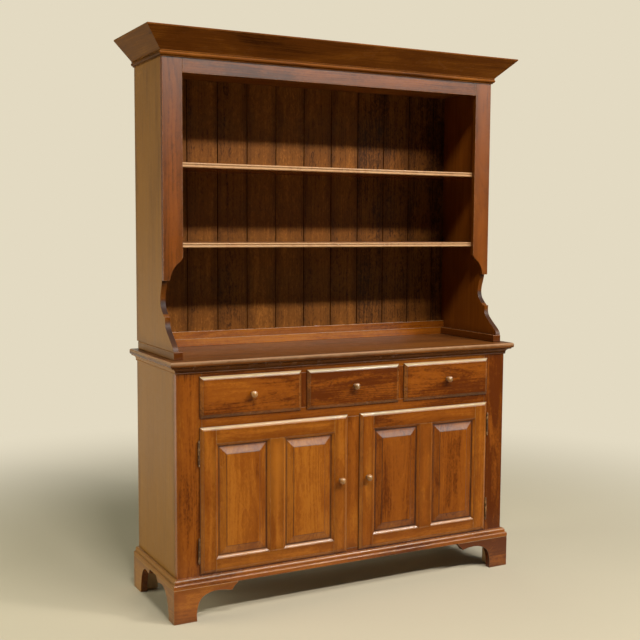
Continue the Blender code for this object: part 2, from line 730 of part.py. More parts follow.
def build_door(label, side):
    """Frame and panel door on its hinge pivot."""
    pivot = joint_empty(label + "_door_pivot", (side * HINGE_X, HINGE_Y, DOOR_Z))
    centre = Vector((side * DOOR_X, FACE_Y, DOOR_Z))
    hinge_step = LIP + DOOR_HINGE_CLEARANCE
    lock_step = LIP + DOOR_LOCK_CLEARANCE
    left_step, right_step = (hinge_step, lock_step) if side < 0 else (lock_step, hinge_step)
    name = "door_" + label + "_frame"
    mesh = lipped_front_mesh(
        name, DOOR_WIDTH, DOOR_HEIGHT, DOOR_LIP_THICKNESS,
        left_step, right_step, LIP + DOOR_END_CLEARANCE,
    )
    node = place(name, mesh, centre, pivot)
    finish(node, FRONT_CHERRY)
    panel_width = (DOOR_WIDTH - 2 * DOOR_STILE_WIDTH - DOOR_MUNTIN_WIDTH) / 2
    panel_height = DOOR_HEIGHT - DOOR_TOP_RAIL - DOOR_BOTTOM_RAIL
    panel_z = (DOOR_BOTTOM_RAIL - DOOR_TOP_RAIL) / 2
    for panel_label, panel_side in (("outer", side), ("inner", -side)):
        panel_x = panel_side * (DOOR_MUNTIN_WIDTH + panel_width) / 2
        where = centre + Vector((panel_x, 0, panel_z))
        panel_name = "door_" + label + "_panel_" + panel_label
        boolean(node, opening_mesh(panel_name, panel_width, panel_height), "DIFFERENCE", where)
        panel_mesh = raised_panel_mesh(panel_name, panel_width, panel_height)
        finish(place(panel_name, panel_mesh, where, pivot), FRONT_CHERRY)
    for row, hinge_z in hinge_heights():
        gain = gain_mesh(name + "_gain", side)
        boolean(node, gain, "DIFFERENCE", (side * HINGE_X, HINGE_Y, hinge_z))
        door_leaf(label, row, side, hinge_z, pivot)
        frame_leaf(label, row, side, hinge_z)
    knob_x = side * (DOOR_INNER_X + DOOR_KNOB_INSET)
    knob(
        "door_" + label + "_knob",
        (knob_x, FACE_Y - FIT_GAP, DOOR_Z + DOOR_KNOB_RISE), pivot,
    )


def build_drawer(label, centre_x):
    """Drawer with a lipped front, a box that runs on the deck and a knob."""
    runner = joint_empty("drawer_" + label + "_runner", (centre_x, FACE_Y, DRAWER_Z))
    name = "drawer_" + label + "_front"
    step = LIP + RUNNING_GAP
    mesh = lipped_front_mesh(
        name, DRAWER_FRONT_WIDTH, DRAWER_FRONT_HEIGHT, FRONT_PROUD - FIT_GAP, step, step, step,
    )
    finish(place(name, mesh, (centre_x, FACE_Y, DRAWER_Z), runner), FRONT_CHERRY)

    half = DRAWER_OPENING_WIDTH / 2 - RUNNING_GAP
    inner = half - DRAWER_SIDE
    low = DRAWER_OPENING_BOTTOM_Z + FIT_GAP
    height = DRAWER_OPENING_TOP_Z - DRAWER_HEADROOM - low
    shelf = DRAWER_BOTTOM_RISE + DRAWER_BOTTOM
    outline = [
        (-half, 0), (-inner, 0), (-inner, DRAWER_BOTTOM_RISE), (inner, DRAWER_BOTTOM_RISE),
        (inner, 0), (half, 0), (half, height), (inner, height), (inner, shelf),
        (-inner, shelf), (-inner, height), (-half, height),
    ]
    name = "drawer_" + label + "_box"
    start = (centre_x, FACE_Y + FRONT_THICKNESS + FIT_GAP, low)
    node = place(name, prism_y(name, outline, 0, DRAWER_LENGTH), start, runner)
    finish(node, INNER_WOOD)
    tuck = DRAWER_BOTTOM / 2
    back_low = shelf - tuck
    back_high = height - DRAWER_BACK_DROP
    back = block_mesh(name, (2 * (inner + tuck), DRAWER_SIDE, back_high - back_low))
    back_y = DRAWER_LENGTH - DRAWER_BACK_INSET - DRAWER_SIDE / 2
    where = Vector(start) + Vector((0, back_y, (back_low + back_high) / 2))
    boolean(node, back, "UNION", where)
    knob(
        "drawer_" + label + "_knob",
        (centre_x, FACE_Y - FIT_GAP, DRAWER_Z + DRAWER_KNOB_RISE), runner,
    )


# Hinges


def hinge_heights():
    """Row name and middle height of the upper and the lower hinge."""
    return (
        ("upper", DOOR_TOP_Z - HINGE_UPPER_DROP),
        ("lower", DOOR_BOTTOM_Z + HINGE_LOWER_RISE),
    )


def frame_leaf_places():
    """Offsets from the hinge axis to the frame's face and to the side of its opening."""
    return HINGE_AXIS_PROUD - FIT_GAP, OPENING_HALF - HINGE_X - FIT_GAP


def door_leaf_places():
    """Offsets from the hinge axis to the faces that the door leaf lies against."""
    frame_face, opening_side = frame_leaf_places()
    return frame_face - HINGE_LEAF - FIT_GAP, opening_side - HINGE_LEAF - FIT_GAP


def gain_mesh(name, side):
    """Shallow recess in the back of the lip that takes the door leaf."""
    door_face, door_side = door_leaf_places()
    low_y = door_face - HINGE_LEAF - FIT_GAP
    high_y = HINGE_AXIS_PROUD - DOOR_LIP_STAND + HINGE_LEAF
    low_x = door_side - HINGE_LEAF - FIT_GAP
    outline = [(low_x, low_y), (0, low_y), (0, high_y), (low_x, high_y)]
    half = HINGE_HEIGHT / 2 + FIT_GAP
    return prism_z(name, [(side * x, y) for x, y in outline], -half, half)


def knuckle_height():
    """Height of one of the three knuckles."""
    return (HINGE_HEIGHT - 2 * FIT_GAP) / 3


def frame_leaf(label, row, side, hinge_z):
    """Leaf wrapped round the edge of the stile, with two bored knuckles."""
    frame_face, opening_side = frame_leaf_places()
    near = frame_face - HINGE_LEAF
    depth = HINGE_AXIS_PROUD + HINGE_LEG
    plate = [
        (0, near), (0, frame_face), (opening_side, frame_face), (opening_side, depth),
        (opening_side - HINGE_LEAF, depth), (opening_side - HINGE_LEAF, near),
    ]
    name = "hinge_" + label + "_" + row + "_frame_leaf"
    half = HINGE_HEIGHT / 2
    centre = Vector((side * HINGE_X, HINGE_Y, hinge_z))
    node = place(name, prism_z(name, [(side * x, y) for x, y in plate], -half, half), centre)
    finish(node, HINGE_BRONZE)
    height = knuckle_height()
    web_low = HINGE_RADIUS - HINGE_LEAF / 2
    web_high = frame_face - HINGE_LEAF / 2
    web = [(-HINGE_WEB, web_low), (0, web_low), (0, web_high), (-HINGE_WEB, web_high)]
    for end in (-1, 1):
        middle = centre + Vector((0, 0, end * (half - height / 2)))
        ring = ring_mesh(name, HINGE_PIN_RADIUS + FIT_GAP, HINGE_RADIUS, height)
        boolean(node, ring, "UNION", middle)
        tab = prism_z(name, [(side * x, y) for x, y in web], -height / 2, height / 2)
        boolean(node, tab, "UNION", middle)


def ring_mesh(name, inner, outer, height):
    """Short tube standing on its own middle."""
    vertices = []
    for radius, level in ((inner, -1), (outer, -1), (outer, 1), (inner, 1)):
        for step in range(HINGE_SEGMENTS):
            angle = 2 * math.pi * step / HINGE_SEGMENTS
            vertices.append((radius * math.cos(angle), radius * math.sin(angle), level * height / 2))
    faces = []
    for row in range(4):
        for step in range(HINGE_SEGMENTS):
            after = (step + 1) % HINGE_SEGMENTS
            low = row * HINGE_SEGMENTS
            high = (row + 1) % 4 * HINGE_SEGMENTS
            faces.append((low + step, low + after, high + after, high + step))
    return closed_mesh(name, vertices, faces)


def door_leaf(label, row, side, hinge_z, pivot):
    """Leaf behind the lip of the door, with the middle knuckle, the pin and its finials."""
    door_face, door_side = door_leaf_places()
    near = door_face - HINGE_LEAF
    depth = door_face + HINGE_DOOR_LEG
    end = -HINGE_WEB - 2 * FIT_GAP
    plate = [
        (end, near), (end, door_face), (door_side, door_face), (door_side, depth),
        (door_side - HINGE_LEAF, depth), (door_side - HINGE_LEAF, near),
    ]
    name = "hinge_" + label + "_" + row + "_door_leaf"
    half = HINGE_HEIGHT / 2
    centre = Vector((side * HINGE_X, HINGE_Y, hinge_z))
    middle = knuckle_height() / 2
    reach = half + FIT_GAP
    tip = [
        (radius * HINGE_RADIUS, reach + share * HINGE_FINIAL) for radius, share in FINIAL_SHARES
    ]
    upper = [
        (HINGE_RADIUS, middle), (HINGE_PIN_RADIUS, middle), (HINGE_PIN_RADIUS, reach),
        (HINGE_RADIUS, reach), *tip,
    ]
    lower = [(radius, -height) for radius, height in reversed(upper)]
    pin = turned_mesh(name, lower + upper, HINGE_SEGMENTS, False)
    node = place(name, pin, centre, pivot)
    finish(node, HINGE_BRONZE)
    strap = prism_z(name, [(side * x, y) for x, y in plate], -half, half)
    web = [
        (end - HINGE_LEAF, near + FIT_GAP), (-HINGE_PIN_RADIUS / 2, near + FIT_GAP),
        (-HINGE_PIN_RADIUS / 2, door_face - FIT_GAP), (end - HINGE_LEAF, door_face - FIT_GAP),
    ]
    tab = prism_z(name, [(side * x, y) for x, y in web], FIT_GAP - middle, middle - FIT_GAP)
    boolean(node, tab, "UNION", centre)
    boolean(node, strap, "UNION", centre)


# Hutch


def build_hutch_sides():
    """Scrolled side panels, the shoes under them and the stiles in front of them."""
    scroll_top = STILE_FOOT_Z - HUTCH_SIDE_Z
    reach_y = -SCROLL_REACH
    upper = smooth_run(
        shared_points(SCROLL_UPPER_SHARES, (HUTCH_Y, HUTCH_SIDE_Z), reach_y, scroll_top),
        SCROLL_STEPS,
    )
    lower = smooth_run(
        shared_points(SCROLL_LOWER_SHARES, (HUTCH_Y, HUTCH_SIDE_Z), reach_y, scroll_top),
        SCROLL_STEPS,
    )
    outline = [
        (HUTCH_INNER_Y, CARCASS_TOP_Z), (HUTCH_INNER_Y, STILE_FOOT_Z), *upper, *lower,
        (BACK_Y, HUTCH_SIDE_Z), (BACK_Y, CARCASS_TOP_Z),
    ]
    local = [(y - HUTCH_Y, z - HUTCH_SIDE_Z) for y, z in outline]
    rebate_width = HUTCH_SIDE_THICKNESS / 2
    for label, side in (("left", -1), ("right", 1)):
        name = "hutch_side_" + label
        mesh = prism_x(name, local, 0, -side * HUTCH_SIDE_THICKNESS)
        node = place(name, mesh, (side * HALF_WIDTH, HUTCH_Y, HUTCH_SIDE_Z))
        finish(node, SIDE_CHERRY)
        tall = CARCASS_TOP_Z - HUTCH_SIDE_Z
        cutter = block_mesh(
            name + "_rebate",
            (rebate_width + CUT_OVERRUN, HUTCH_REBATE_DEPTH + CUT_OVERRUN, tall + 2 * CUT_OVERRUN),
        )
        cut_x = HALF_WIDTH - rebate_width - (rebate_width + CUT_OVERRUN) / 2
        cut_y = HUTCH_BACK_Y + (HUTCH_REBATE_DEPTH + CUT_OVERRUN) / 2
        boolean(node, cutter, "DIFFERENCE", (side * cut_x, cut_y, HUTCH_SIDE_Z + tall / 2))

        shoe_front = SCROLL_FRONT_Y - SHOE_NOSE
        span = sorted((side * (HALF_WIDTH - SHOE_WIDTH), side * HALF_WIDTH))
        shoe = board(
            "hutch_shoe_" + label, span, (shoe_front, HUTCH_BACK_Y), (HUTCH_FOOT_Z, SHOE_TOP_Z),
            SIDE_CHERRY,
        )
        soften(shoe, SHOE_NOSE, 2)

        stile = stile_outline()
        name = "hutch_stile_" + label
        mesh = prism_y(name, [(side * x, z) for x, z in stile], 0, HUTCH_STILE_THICKNESS)
        finish(place(name, mesh, (side * HALF_WIDTH, HUTCH_Y, STILE_FOOT_Z)), FRONT_CHERRY)


def stile_outline():
    """Hutch stile from its outer edge, with the sweep at its foot."""
    sweep = shared_points(
        STILE_SWEEP_SHARES, (-HUTCH_STILE_WIDTH, 0),
        HUTCH_STILE_WIDTH - HUTCH_STILE_FOOT, HUTCH_STILE_SWEEP,
    )
    tall = CARCASS_TOP_Z - STILE_FOOT_Z
    return [(0, 0), (0, tall), (-HUTCH_STILE_WIDTH, tall), *smooth_run(sweep, CURVE_STEPS)]


def shelf_mesh(name, width, depth):
    """Shelf whose front edge has a groove between two rounded beads."""
    middle = SHELF_THICKNESS / 2
    outline = [
        (SHELF_ARRIS, 0), (0, SHELF_ARRIS), (0, middle - SHELF_GROOVE), (SHELF_GROOVE, middle),
        (0, middle + SHELF_GROOVE), (0, SHELF_THICKNESS - SHELF_ARRIS),
        (SHELF_ARRIS, SHELF_THICKNESS), (depth, SHELF_THICKNESS), (depth, 0),
    ]
    return prism_x(name, outline, -width / 2, width / 2)


def build_hutch_inside():
    """Shelves, top board, boarded back and the rail along the foot of the back."""
    inner_x = HALF_WIDTH - HUTCH_SIDE_THICKNESS - FIT_GAP
    depth = HUTCH_BACK_Y - HUTCH_INNER_Y
    for label, surface_z in (("lower", LOWER_SHELF_Z), ("upper", UPPER_SHELF_Z)):
        name = "hutch_shelf_" + label
        mesh = shelf_mesh(name, 2 * inner_x, depth)
        where = (0, HUTCH_INNER_Y, surface_z - SHELF_THICKNESS)
        finish(place(name, mesh, where), FRONT_CHERRY)
    board(
        "hutch_top_board", (-inner_x, inner_x), (HUTCH_INNER_Y, HUTCH_BACK_Y),
        (TOP_BOARD_Z, TOP_BOARD_Z + PANEL_THICKNESS), BACK_BOARDING,
    )
    rail_half = HALF_WIDTH - HUTCH_STILE_WIDTH - FIT_GAP
    board(
        "hutch_top_rail", (-rail_half, rail_half), (HUTCH_Y, HUTCH_Y + HUTCH_STILE_THICKNESS),
        (TOP_RAIL_Z, CARCASS_TOP_Z), FRONT_CHERRY,
    )

    half = HALF_WIDTH - HUTCH_SIDE_THICKNESS / 2 - FIT_GAP
    grooves = int((half - BOARD_VEE) / BOARD_PITCH)
    front = [(-half, 0)]
    for place_on in range(-grooves, grooves + 1):
        x = place_on * BOARD_PITCH
        front += [(x - BOARD_VEE, 0), (x, BOARD_VEE), (x + BOARD_VEE, 0)]
    outline = [*front, (half, 0), (half, HUTCH_BACK_THICKNESS), (-half, HUTCH_BACK_THICKNESS)]
    mesh = prism_z("hutch_back", outline, 0, CARCASS_TOP_Z - HUTCH_FOOT_Z)
    node = place("hutch_back", mesh, (0, HUTCH_BACK_Y + FIT_GAP, HUTCH_FOOT_Z))
    finish(node, BACK_BOARDING)

    shoe_x = HALF_WIDTH - SHOE_WIDTH - FIT_GAP
    shoe_top = SHOE_HEIGHT + FIT_GAP
    outline = [
        (-shoe_x, 0), (shoe_x, 0), (shoe_x, shoe_top), (inner_x, shoe_top),
        (inner_x, shoe_top + BACK_RAIL_HEIGHT), (-inner_x, shoe_top + BACK_RAIL_HEIGHT),
        (-inner_x, shoe_top), (-shoe_x, shoe_top),
    ]
    mesh = prism_y("hutch_bottom_rail", outline, 0, BACK_RAIL_THICKNESS)
    node = place(
        "hutch_bottom_rail", mesh, (0, HUTCH_BACK_Y - BACK_RAIL_THICKNESS, HUTCH_FOOT_Z),
    )
    finish(node, FRONT_CHERRY)


def build_crown():
    """Bead and leaning crown board, both mitred round the top of the hutch."""
    low = BEAD_RADIUS / 2
    bead = [
        (FIT_GAP, 0), (BEAD_SEAT, 0),
        *arc((BEAD_SEAT, low + BEAD_RADIUS), BEAD_RADIUS, -90, 90, 2 * MOULD_STEPS),
        (CROWN_FOOT, low + 2 * BEAD_RADIUS), (CROWN_FOOT, BEAD_HEIGHT), (FIT_GAP, BEAD_HEIGHT),
    ]
    mitred_moulding("crown_bead", bead, HUTCH_Y, BACK_Y, BEAD_Z, FRONT_CHERRY)

    run = CROWN_PROJECTION - CROWN_FOOT
    rise = CROWN_HEIGHT - CROWN_EDGE
    slope = math.hypot(run, rise)
    back_x = CROWN_FOOT - CROWN_THICKNESS * rise / slope
    back_z = CROWN_THICKNESS * run / slope
    top_x = back_x + (CROWN_HEIGHT - back_z) * run / rise
    seat_z = back_z + (FIT_GAP - back_x) * rise / run
    crown = [
        (FIT_GAP, 0), (CROWN_FOOT, 0), (CROWN_PROJECTION, rise),
        (CROWN_PROJECTION, CROWN_HEIGHT), (top_x, CROWN_HEIGHT), (FIT_GAP, seat_z),
    ]
    mitred_moulding("crown", crown, HUTCH_Y, BACK_Y, CROWN_Z, FRONT_CHERRY)


def main():
    """Build the whole buffet."""
    clear_objects()
    build_case()
    build_deck()
    build_face_frame()
    build_counter()
    build_feet()
    for label, side in (("left", -1), ("right", 1)):
        build_door(label, side)
    for label, place_on in (("left", -1), ("middle", 0), ("right", 1)):
        build_drawer(label, place_on * DRAWER_PITCH)
    build_hutch_sides()
    build_hutch_inside()
    build_crown()


main()
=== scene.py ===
"""Looks of the buffet: every board, moulding, knob and hinge in its own finish.

All lengths are in metres. X runs to the viewer's right, Y to the back and Z up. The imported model
says where each piece goes, and the new pieces take its places with rounded arrises, boards of
their own grain and the lacquer, wear and grime of a used piece of furniture.
"""

import json
import logging
import math
from dataclasses import dataclass
from enum import Enum

import bmesh
import bpy
import numpy as np
from mathutils import Matrix, Vector

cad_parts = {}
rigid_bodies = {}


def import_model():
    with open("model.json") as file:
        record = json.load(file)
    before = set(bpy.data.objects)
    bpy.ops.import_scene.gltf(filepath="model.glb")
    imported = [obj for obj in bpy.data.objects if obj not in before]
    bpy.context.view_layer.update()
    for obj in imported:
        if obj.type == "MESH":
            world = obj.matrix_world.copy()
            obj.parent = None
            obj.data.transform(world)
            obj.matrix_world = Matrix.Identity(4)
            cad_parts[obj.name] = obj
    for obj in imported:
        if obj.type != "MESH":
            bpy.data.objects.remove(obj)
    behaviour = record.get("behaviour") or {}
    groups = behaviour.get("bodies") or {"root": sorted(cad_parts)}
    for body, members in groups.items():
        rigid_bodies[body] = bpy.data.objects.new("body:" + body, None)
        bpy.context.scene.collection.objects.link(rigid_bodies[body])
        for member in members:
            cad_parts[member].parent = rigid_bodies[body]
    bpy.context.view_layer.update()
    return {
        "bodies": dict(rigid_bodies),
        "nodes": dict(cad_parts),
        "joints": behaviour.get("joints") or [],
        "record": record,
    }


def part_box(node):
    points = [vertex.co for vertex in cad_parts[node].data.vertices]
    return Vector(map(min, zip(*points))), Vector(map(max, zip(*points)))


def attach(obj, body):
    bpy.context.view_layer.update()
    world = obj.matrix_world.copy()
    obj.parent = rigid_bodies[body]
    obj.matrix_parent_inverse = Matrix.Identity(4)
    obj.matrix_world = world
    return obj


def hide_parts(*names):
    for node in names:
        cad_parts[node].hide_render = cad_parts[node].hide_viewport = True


LOG = logging.getLogger("buffet")
Array = np.ndarray
Colour = tuple[float, float, float]
Point = tuple[float, float, float]
Shares = tuple[tuple[float, float], ...]

RIGHTWARD, INTO, UP = np.eye(3)
"""Directions: to the right, from the front into the piece, and up."""
FIT = 0.0003
"""Clearance between two boards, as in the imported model."""
SAWN = 0.0005
"""Rounding of a plain board's arrises, as sawn."""
DOUBLED = 2e-5
"""Points of an outline that are nearer than this are one point."""
SHARP = 0.35
"""Sine of the turn from which a corner of an outline is rounded."""
LONGEST_CUT = 0.45
"""Longest cut of a rounded corner, as a share of the shorter side beside it."""
WELD = 2e-6
"""Points of a mesh that are nearer than this are joined."""
ARRIS_WEAR_AND_HIGHLIGHT = 0.45
# Wear of an arris, which also paints a pale highlight along it.
"""Wear of an arris."""
HANDLED = 0.12
"""Wear of a moulded edge that hands take hold of."""
GRIME_SHADE = 0.30
"""Colour of grime, as a share of the dark of its wood."""
DUST = (0.42, 0.37, 0.30)
"""Colour of dust."""


class Side(Enum):
    """Left or right half of the piece, with its sign along X."""

    LEFT = -1
    RIGHT = 1

    @property
    def word(self) -> str:
        """Lower case word used in the names of pieces."""
        return self.name.lower()


class Run(Enum):
    """Axis that the grain of a board runs along, with the axes across and through it."""

    X = (0, 2, 1)
    Y = (1, 2, 0)
    Z = (2, 0, 1)

    @property
    def plane(self) -> tuple[int, int]:
        """The two axes of the plane that the run stands on, in rising order."""
        return tuple(sorted(self.value[1:]))


class Slot(Enum):
    """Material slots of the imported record."""

    FRONT = "cherry_front"
    SIDE = "cherry_side"
    COUNTER = "cherry_counter"
    BACK = "back_boarding"
    INNER = "inner_wood"
    BRONZE = "hinge_bronze"


# Shapes worked out as whole arrays


@dataclass
class Shell:
    """One closed surface: a grid of points with the wear and the grime of each.

    The run and the seed are the axis of the grain and the number of the board, flat says whether
    it has a rim, the tone is left to chance where it is none, and the fade runs from 0 to 1:
    how much of a painted reflection of a pale warm wall the point takes.
    """

    points: Array
    wear: Array
    grime: Array
    run: Run = Run.X
    seed: int = 0
    flat: bool = True
    tone: Array | float | None = None
    fade: Array | float = 0.0

    def cut_from(self, run: Run, seed: int, flat: bool = True, tone: float | None = None) -> "Shell":
        """Say how the shell lies in its board.

        Args:
            run: Axis of the grain.
            seed: Number of the board.
            flat: Whether it is flat enough to have a rim.
            tone: Tone from -1, dark, to 1, pale, where it isn't left to chance.

        Returns:
            The shell itself.
        """
        self.run, self.seed, self.flat, self.tone = run, seed, flat, tone
        return self

    def reflection_tint(self, outer: float, depth: float = 0.0012) -> "Shell":
        """Give the points of the outer face a painted reflection of a pale warm wall, all at once across the
        arris.

        The share is one less the distance along X from the outer face over a depth, from 0 to 1.

        Args:
            outer: Place of the outer face along X.
            depth: Distance over which the share ends.

        Returns:
            The shell itself.
        """
        self.fade = np.clip(1 - np.abs(self.points[..., 0] - outer) / depth, 0, 1)
        return self

    @property
    def shade(self) -> Array | float:
        """Tone of the board: its own, or a small one that goes with its number."""
        return scatter(self.seed, 0.7) - 0.5 if self.tone is None else self.tone

    def gaps(self) -> tuple[Array, Array]:
        """Distances of each point from the low and the high sides of the shell, far where it isn't flat.

        Returns:
            Distances from the low sides and from the high sides, a row of three for each point.
        """
        flat = self.points.reshape(-1, 3)
        if not self.flat:
            return np.ones_like(flat), np.ones_like(flat)
        return flat - flat.min(axis=0), flat.max(axis=0) - flat


def scatter(seed: int, salt: float) -> float:
    """Repeatable value from 0 to 1: the part after the point of a large multiple of a sine."""
    return (math.sin(seed * 12.9898 + salt * 78.233) * 43758.5453) % 1.0


def ring(outline: Array) -> Array:
    """Closed outline without doubled points, turned round where its area is negative.

    Args:
        outline: Points, two columns.

    Returns:
        The points in anticlockwise order.
    """
    step = np.linalg.norm(outline - np.roll(outline, 1, axis=0), axis=1)
    outline = outline[step > DOUBLED]
    after = np.roll(outline, -1, axis=0)
    area = np.sum(outline[:, 0] * after[:, 1] - outline[:, 1] * after[:, 0])
    return outline if area > 0 else outline[::-1]


def softened(outline: Array, radius: float, steps: int = 3, closed: bool = True,
             inset: float = 0.0) -> tuple[Array, Array]:
    """Round the corners of an outline, and shrink it by an inset.

    Every side moves in by the inset, and a corner goes to where its two moved sides meet. A
    corner that turns by more than about 20 degrees becomes a quadratic curve, which leaves the
    first side one cut before the corner, is drawn towards the corner, and joins the second side
    one cut after it. The cut is the radius, but never more than 0.45 of the shorter side, less
    the inset times the tangent of half the turn.

    Args:
        outline: Points of the outline, two columns, anticlockwise where it is closed.
        radius: Length of the cut.
        steps: Pieces of each curve.
        closed: Whether the last point joins the first. Otherwise both end points stay.
        inset: How far the sides move in.

    Returns:
        The rounded points, and the bend of each: up to 1 on outward corners and down to -1 on
        inward ones, strongest half way through the curve.
    """
    arrive = outline - np.roll(outline, 1, axis=0)
    leave = np.roll(outline, -1, axis=0) - outline
    arrive_length = np.maximum(np.linalg.norm(arrive, axis=1, keepdims=True), 1e-9)
    leave_length = np.maximum(np.linalg.norm(leave, axis=1, keepdims=True), 1e-9)
    arrive, leave = arrive / arrive_length, leave / leave_length
    bend = arrive[:, 0] * leave[:, 1] - arrive[:, 1] * leave[:, 0]
    spread = np.maximum(1 + np.sum(arrive * leave, axis=1), 0.2)
    inward = np.stack([-arrive[:, 1] - leave[:, 1], arrive[:, 0] + leave[:, 0]], axis=1)
    corner = outline + inset * inward / spread[:, None]
    cut = np.minimum(radius, LONGEST_CUT * np.minimum(arrive_length, leave_length)[:, 0])
    cut = np.maximum(cut - inset * bend / spread, 0)
    sharp = np.abs(bend) > SHARP
    if not closed:
        sharp[[0, -1]] = False
    start = (corner - arrive * cut[:, None])[:, None]
    end = (corner + leave * cut[:, None])[:, None]
    share = np.linspace(0, 1, steps + 1)[None, :, None]
    curve = (1 - share) ** 2 * start + 2 * share * (1 - share) * corner[:, None] + share ** 2 * end
    curve = np.where(sharp[:, None, None], curve, corner[:, None])
    bends = np.where(sharp[:, None], bend[:, None] * 4 * share[..., 0] * (1 - share[..., 0]), 0)
    kept = sharp[:, None] | (np.arange(steps + 1) == 0)
    return curve[kept], bends[kept]


def smooth_run(points: Array, steps: int) -> Array:
    """Carry an even curve through a row of points.

    Between two points the place is a cubic of the share gone, whose slope at each point is half
    the way from the point before it to the point after it. The end points count twice.

    Args:
        points: Points to pass through, two columns.
        steps: Pieces between two points.

    Returns:
        The points of the curve, both ends included.
    """
    padded = np.concatenate([points[:1], points, points[-1:]])
    first, second, third, fourth = (padded[k:len(padded) - 3 + k, None] for k in range(4))
    share = np.linspace(0, 1, steps, endpoint=False)[None, :, None]
    curve = 2 * second + (third - first) * share
    curve = curve + (2 * first - 5 * second + 4 * third - fourth) * share ** 2
    curve = (curve + (3 * second - first - 3 * third + fourth) * share ** 3) / 2
    return np.concatenate([curve.reshape(-1, points.shape[1]), points[-1:]])


def arc(centre: tuple[float, float], radius: float, start: float, end: float, steps: int) -> Array:
    """Points on a circle: the centre plus the radius times the cosine and sine of each angle.

    Args:
        centre: Middle of the circle.
        radius: Radius of the circle.
        start: First angle in degrees.
        end: Last angle in degrees.
        steps: Pieces of the arc.

    Returns:
        The points, two columns.
    """
    angle = np.radians(np.linspace(start, end, steps + 1))
    return np.array(centre) + radius * np.stack([np.cos(angle), np.sin(angle)], axis=1)


def rounding(radius: float) -> tuple[Array, Array, Array]:
    """Quarter turn at both ends of a board, as a circle's own.

    Args:
        radius: Radius of the turn.

    Returns:
        For each row from the low end to the high end, its distance from its end, its inset and
        how much it is rubbed.
    """
    angle = np.linspace(0, math.pi / 2, 4)
    rows = radius * (1 - np.cos(angle)), radius * (1 - np.sin(angle)), np.sin(2 * angle)
    return tuple(np.concatenate([row, row[::-1]]) for row in rows)


def carried(outline: Array, run: Run, start: float, end: float, radius: float,
            soft: float | None = None) -> Shell:
    """Carry a closed outline along an axis, with its corners and both ends rounded.

    Row by row the outline shrinks by the radius times one minus the sine of an angle, while the
    row stands in from its end by the radius times one minus the cosine.

    Args:
        outline: Points in the plane across the axis, in rising order of its two axes.
        run: Axis to carry it along.
        start: Low end.
        end: High end.
        radius: Rounding of both ends.
        soft: Rounding of the outline's own corners, the same where it isn't given.

    Returns:
        The closed shell.
    """
    soft = radius if soft is None else soft
    outline = ring(np.asarray(outline, float))
    reach, insets, rim = rounding(radius)
    flat = np.stack([softened(outline, soft, inset=inset)[0] for inset in insets])
    bend = softened(outline, soft)[1]
    half = len(reach) // 2
    points = np.empty((*flat.shape[:2], 3))
    points[..., list(run.plane)] = flat
    points[:half, :, run.value[0]] = (start + reach[:half])[:, None]
    points[half:, :, run.value[0]] = (end - reach[half:])[:, None]
    wear = ARRIS_WEAR_AND_HIGHLIGHT * np.maximum(np.clip(bend, 0, 1)[None], rim[:, None])
    grime = np.repeat(np.clip(-bend, 0, 1)[None], len(reach), axis=0)
    wear[[0, -1]] = grime[[0, -1]] = 0.0
    return Shell(points, wear, grime, run)


def board(low: Array, high: Array, run: Run, radius: float = 0.0012, seed: int = 0) -> Shell:
    """Square edged board with rounded arrises between two corners of its box.

    Args:
        low: Lowest corner.
        high: Highest corner.
        run: Axis of its grain.
        radius: Rounding of its arrises.
        seed: Number of the board it is cut from.

    Returns:
        The closed shell.
    """
    first, second = run.plane
    outline = np.array([
        (low[first], low[second]), (high[first], low[second]),
        (high[first], high[second]), (low[first], high[second]),
    ])
    axis = run.value[0]
    return carried(outline, run, low[axis], high[axis], radius).cut_from(run, seed)


def between(outline: Array, soft: float, ends: tuple[tuple[Vector, Vector], tuple[Vector, Vector]],
            rise: Vector, run: Run, seed: int) -> Shell:
    """Carry a closed moulding profile from one end to the other, square or mitred.

    A point is the end's own place plus the profile's first number times the end's outward
    direction plus its second number times the rising direction, and it goes straight from one
    end to the other. A diagonal outward direction makes the end a mitre.

    Args:
        outline: Closed profile, as the way out and the way up.
        soft: Rounding of its corners.
        ends: Place and outward direction of the first and the last end.
        rise: Rising direction.
        run: Axis of the grain.
        seed: Number of the board it is cut from.

    Returns:
        The closed shell.
    """
    shape, bend = softened(ring(np.asarray(outline, float)), soft)
    points = np.stack([
        np.array(place) + shape[:, :1] * np.array(out) + shape[:, 1:] * np.array(rise)
        for place, out in ends
    ])
    wear = np.repeat(ARRIS_WEAR_AND_HIGHLIGHT * np.clip(bend, 0, 1)[None], 2, axis=0)
    grime = np.repeat(np.clip(-bend, 0, 1)[None], 2, axis=0)
    return Shell(points, wear, grime).cut_from(run, seed, flat=False)


def stacked(profile: Array, low: tuple[float, float], high: tuple[float, float], seed: int, run: Run,
            lift: int = 1, soft: float = 0.0006) -> Shell:
    """Stack rectangles on each other, each one inset from the last as a profile says.

    A corner stands at the box's corner moved in by the profile's inset along both axes of the
    rectangle, and at the profile's depth along the third.

    Args:
        profile: Rows of inset and depth, from the face to the back.
        low: Lowest corner of the rectangle.
        high: Highest corner of the rectangle.
        seed: Number of the board.
        run: Axis of the grain.
        lift: Axis that the depth is measured along.
        soft: Rounding of the profile's corners.

    Returns:
        The closed shell.
    """
    profile = np.asarray(profile, float)
    shape, bend = softened(profile, soft, closed=False)
    plane = [axis for axis in (0, 1, 2) if axis != lift]
    inset = shape[:, 0]
    corners = ((0, 0), (1, 0), (1, 1), (0, 1))
    points = np.empty((len(shape), 4, 3))
    bounds = np.array([low, high], float)
    for column, (first, second) in enumerate(corners):
        points[:, column, plane[0]] = bounds[first, 0] + (inset if first == 0 else -inset)
        points[:, column, plane[1]] = bounds[second, 1] + (inset if second == 0 else -inset)
        points[:, column, lift] = shape[:, 1]
    wear = np.repeat(ARRIS_WEAR_AND_HIGHLIGHT * np.clip(bend, 0, 1)[:, None], 4, axis=1)
    grime = np.repeat(np.clip(-bend, 0, 1)[:, None], 4, axis=1)
    return Shell(points, wear, grime).cut_from(run, seed)


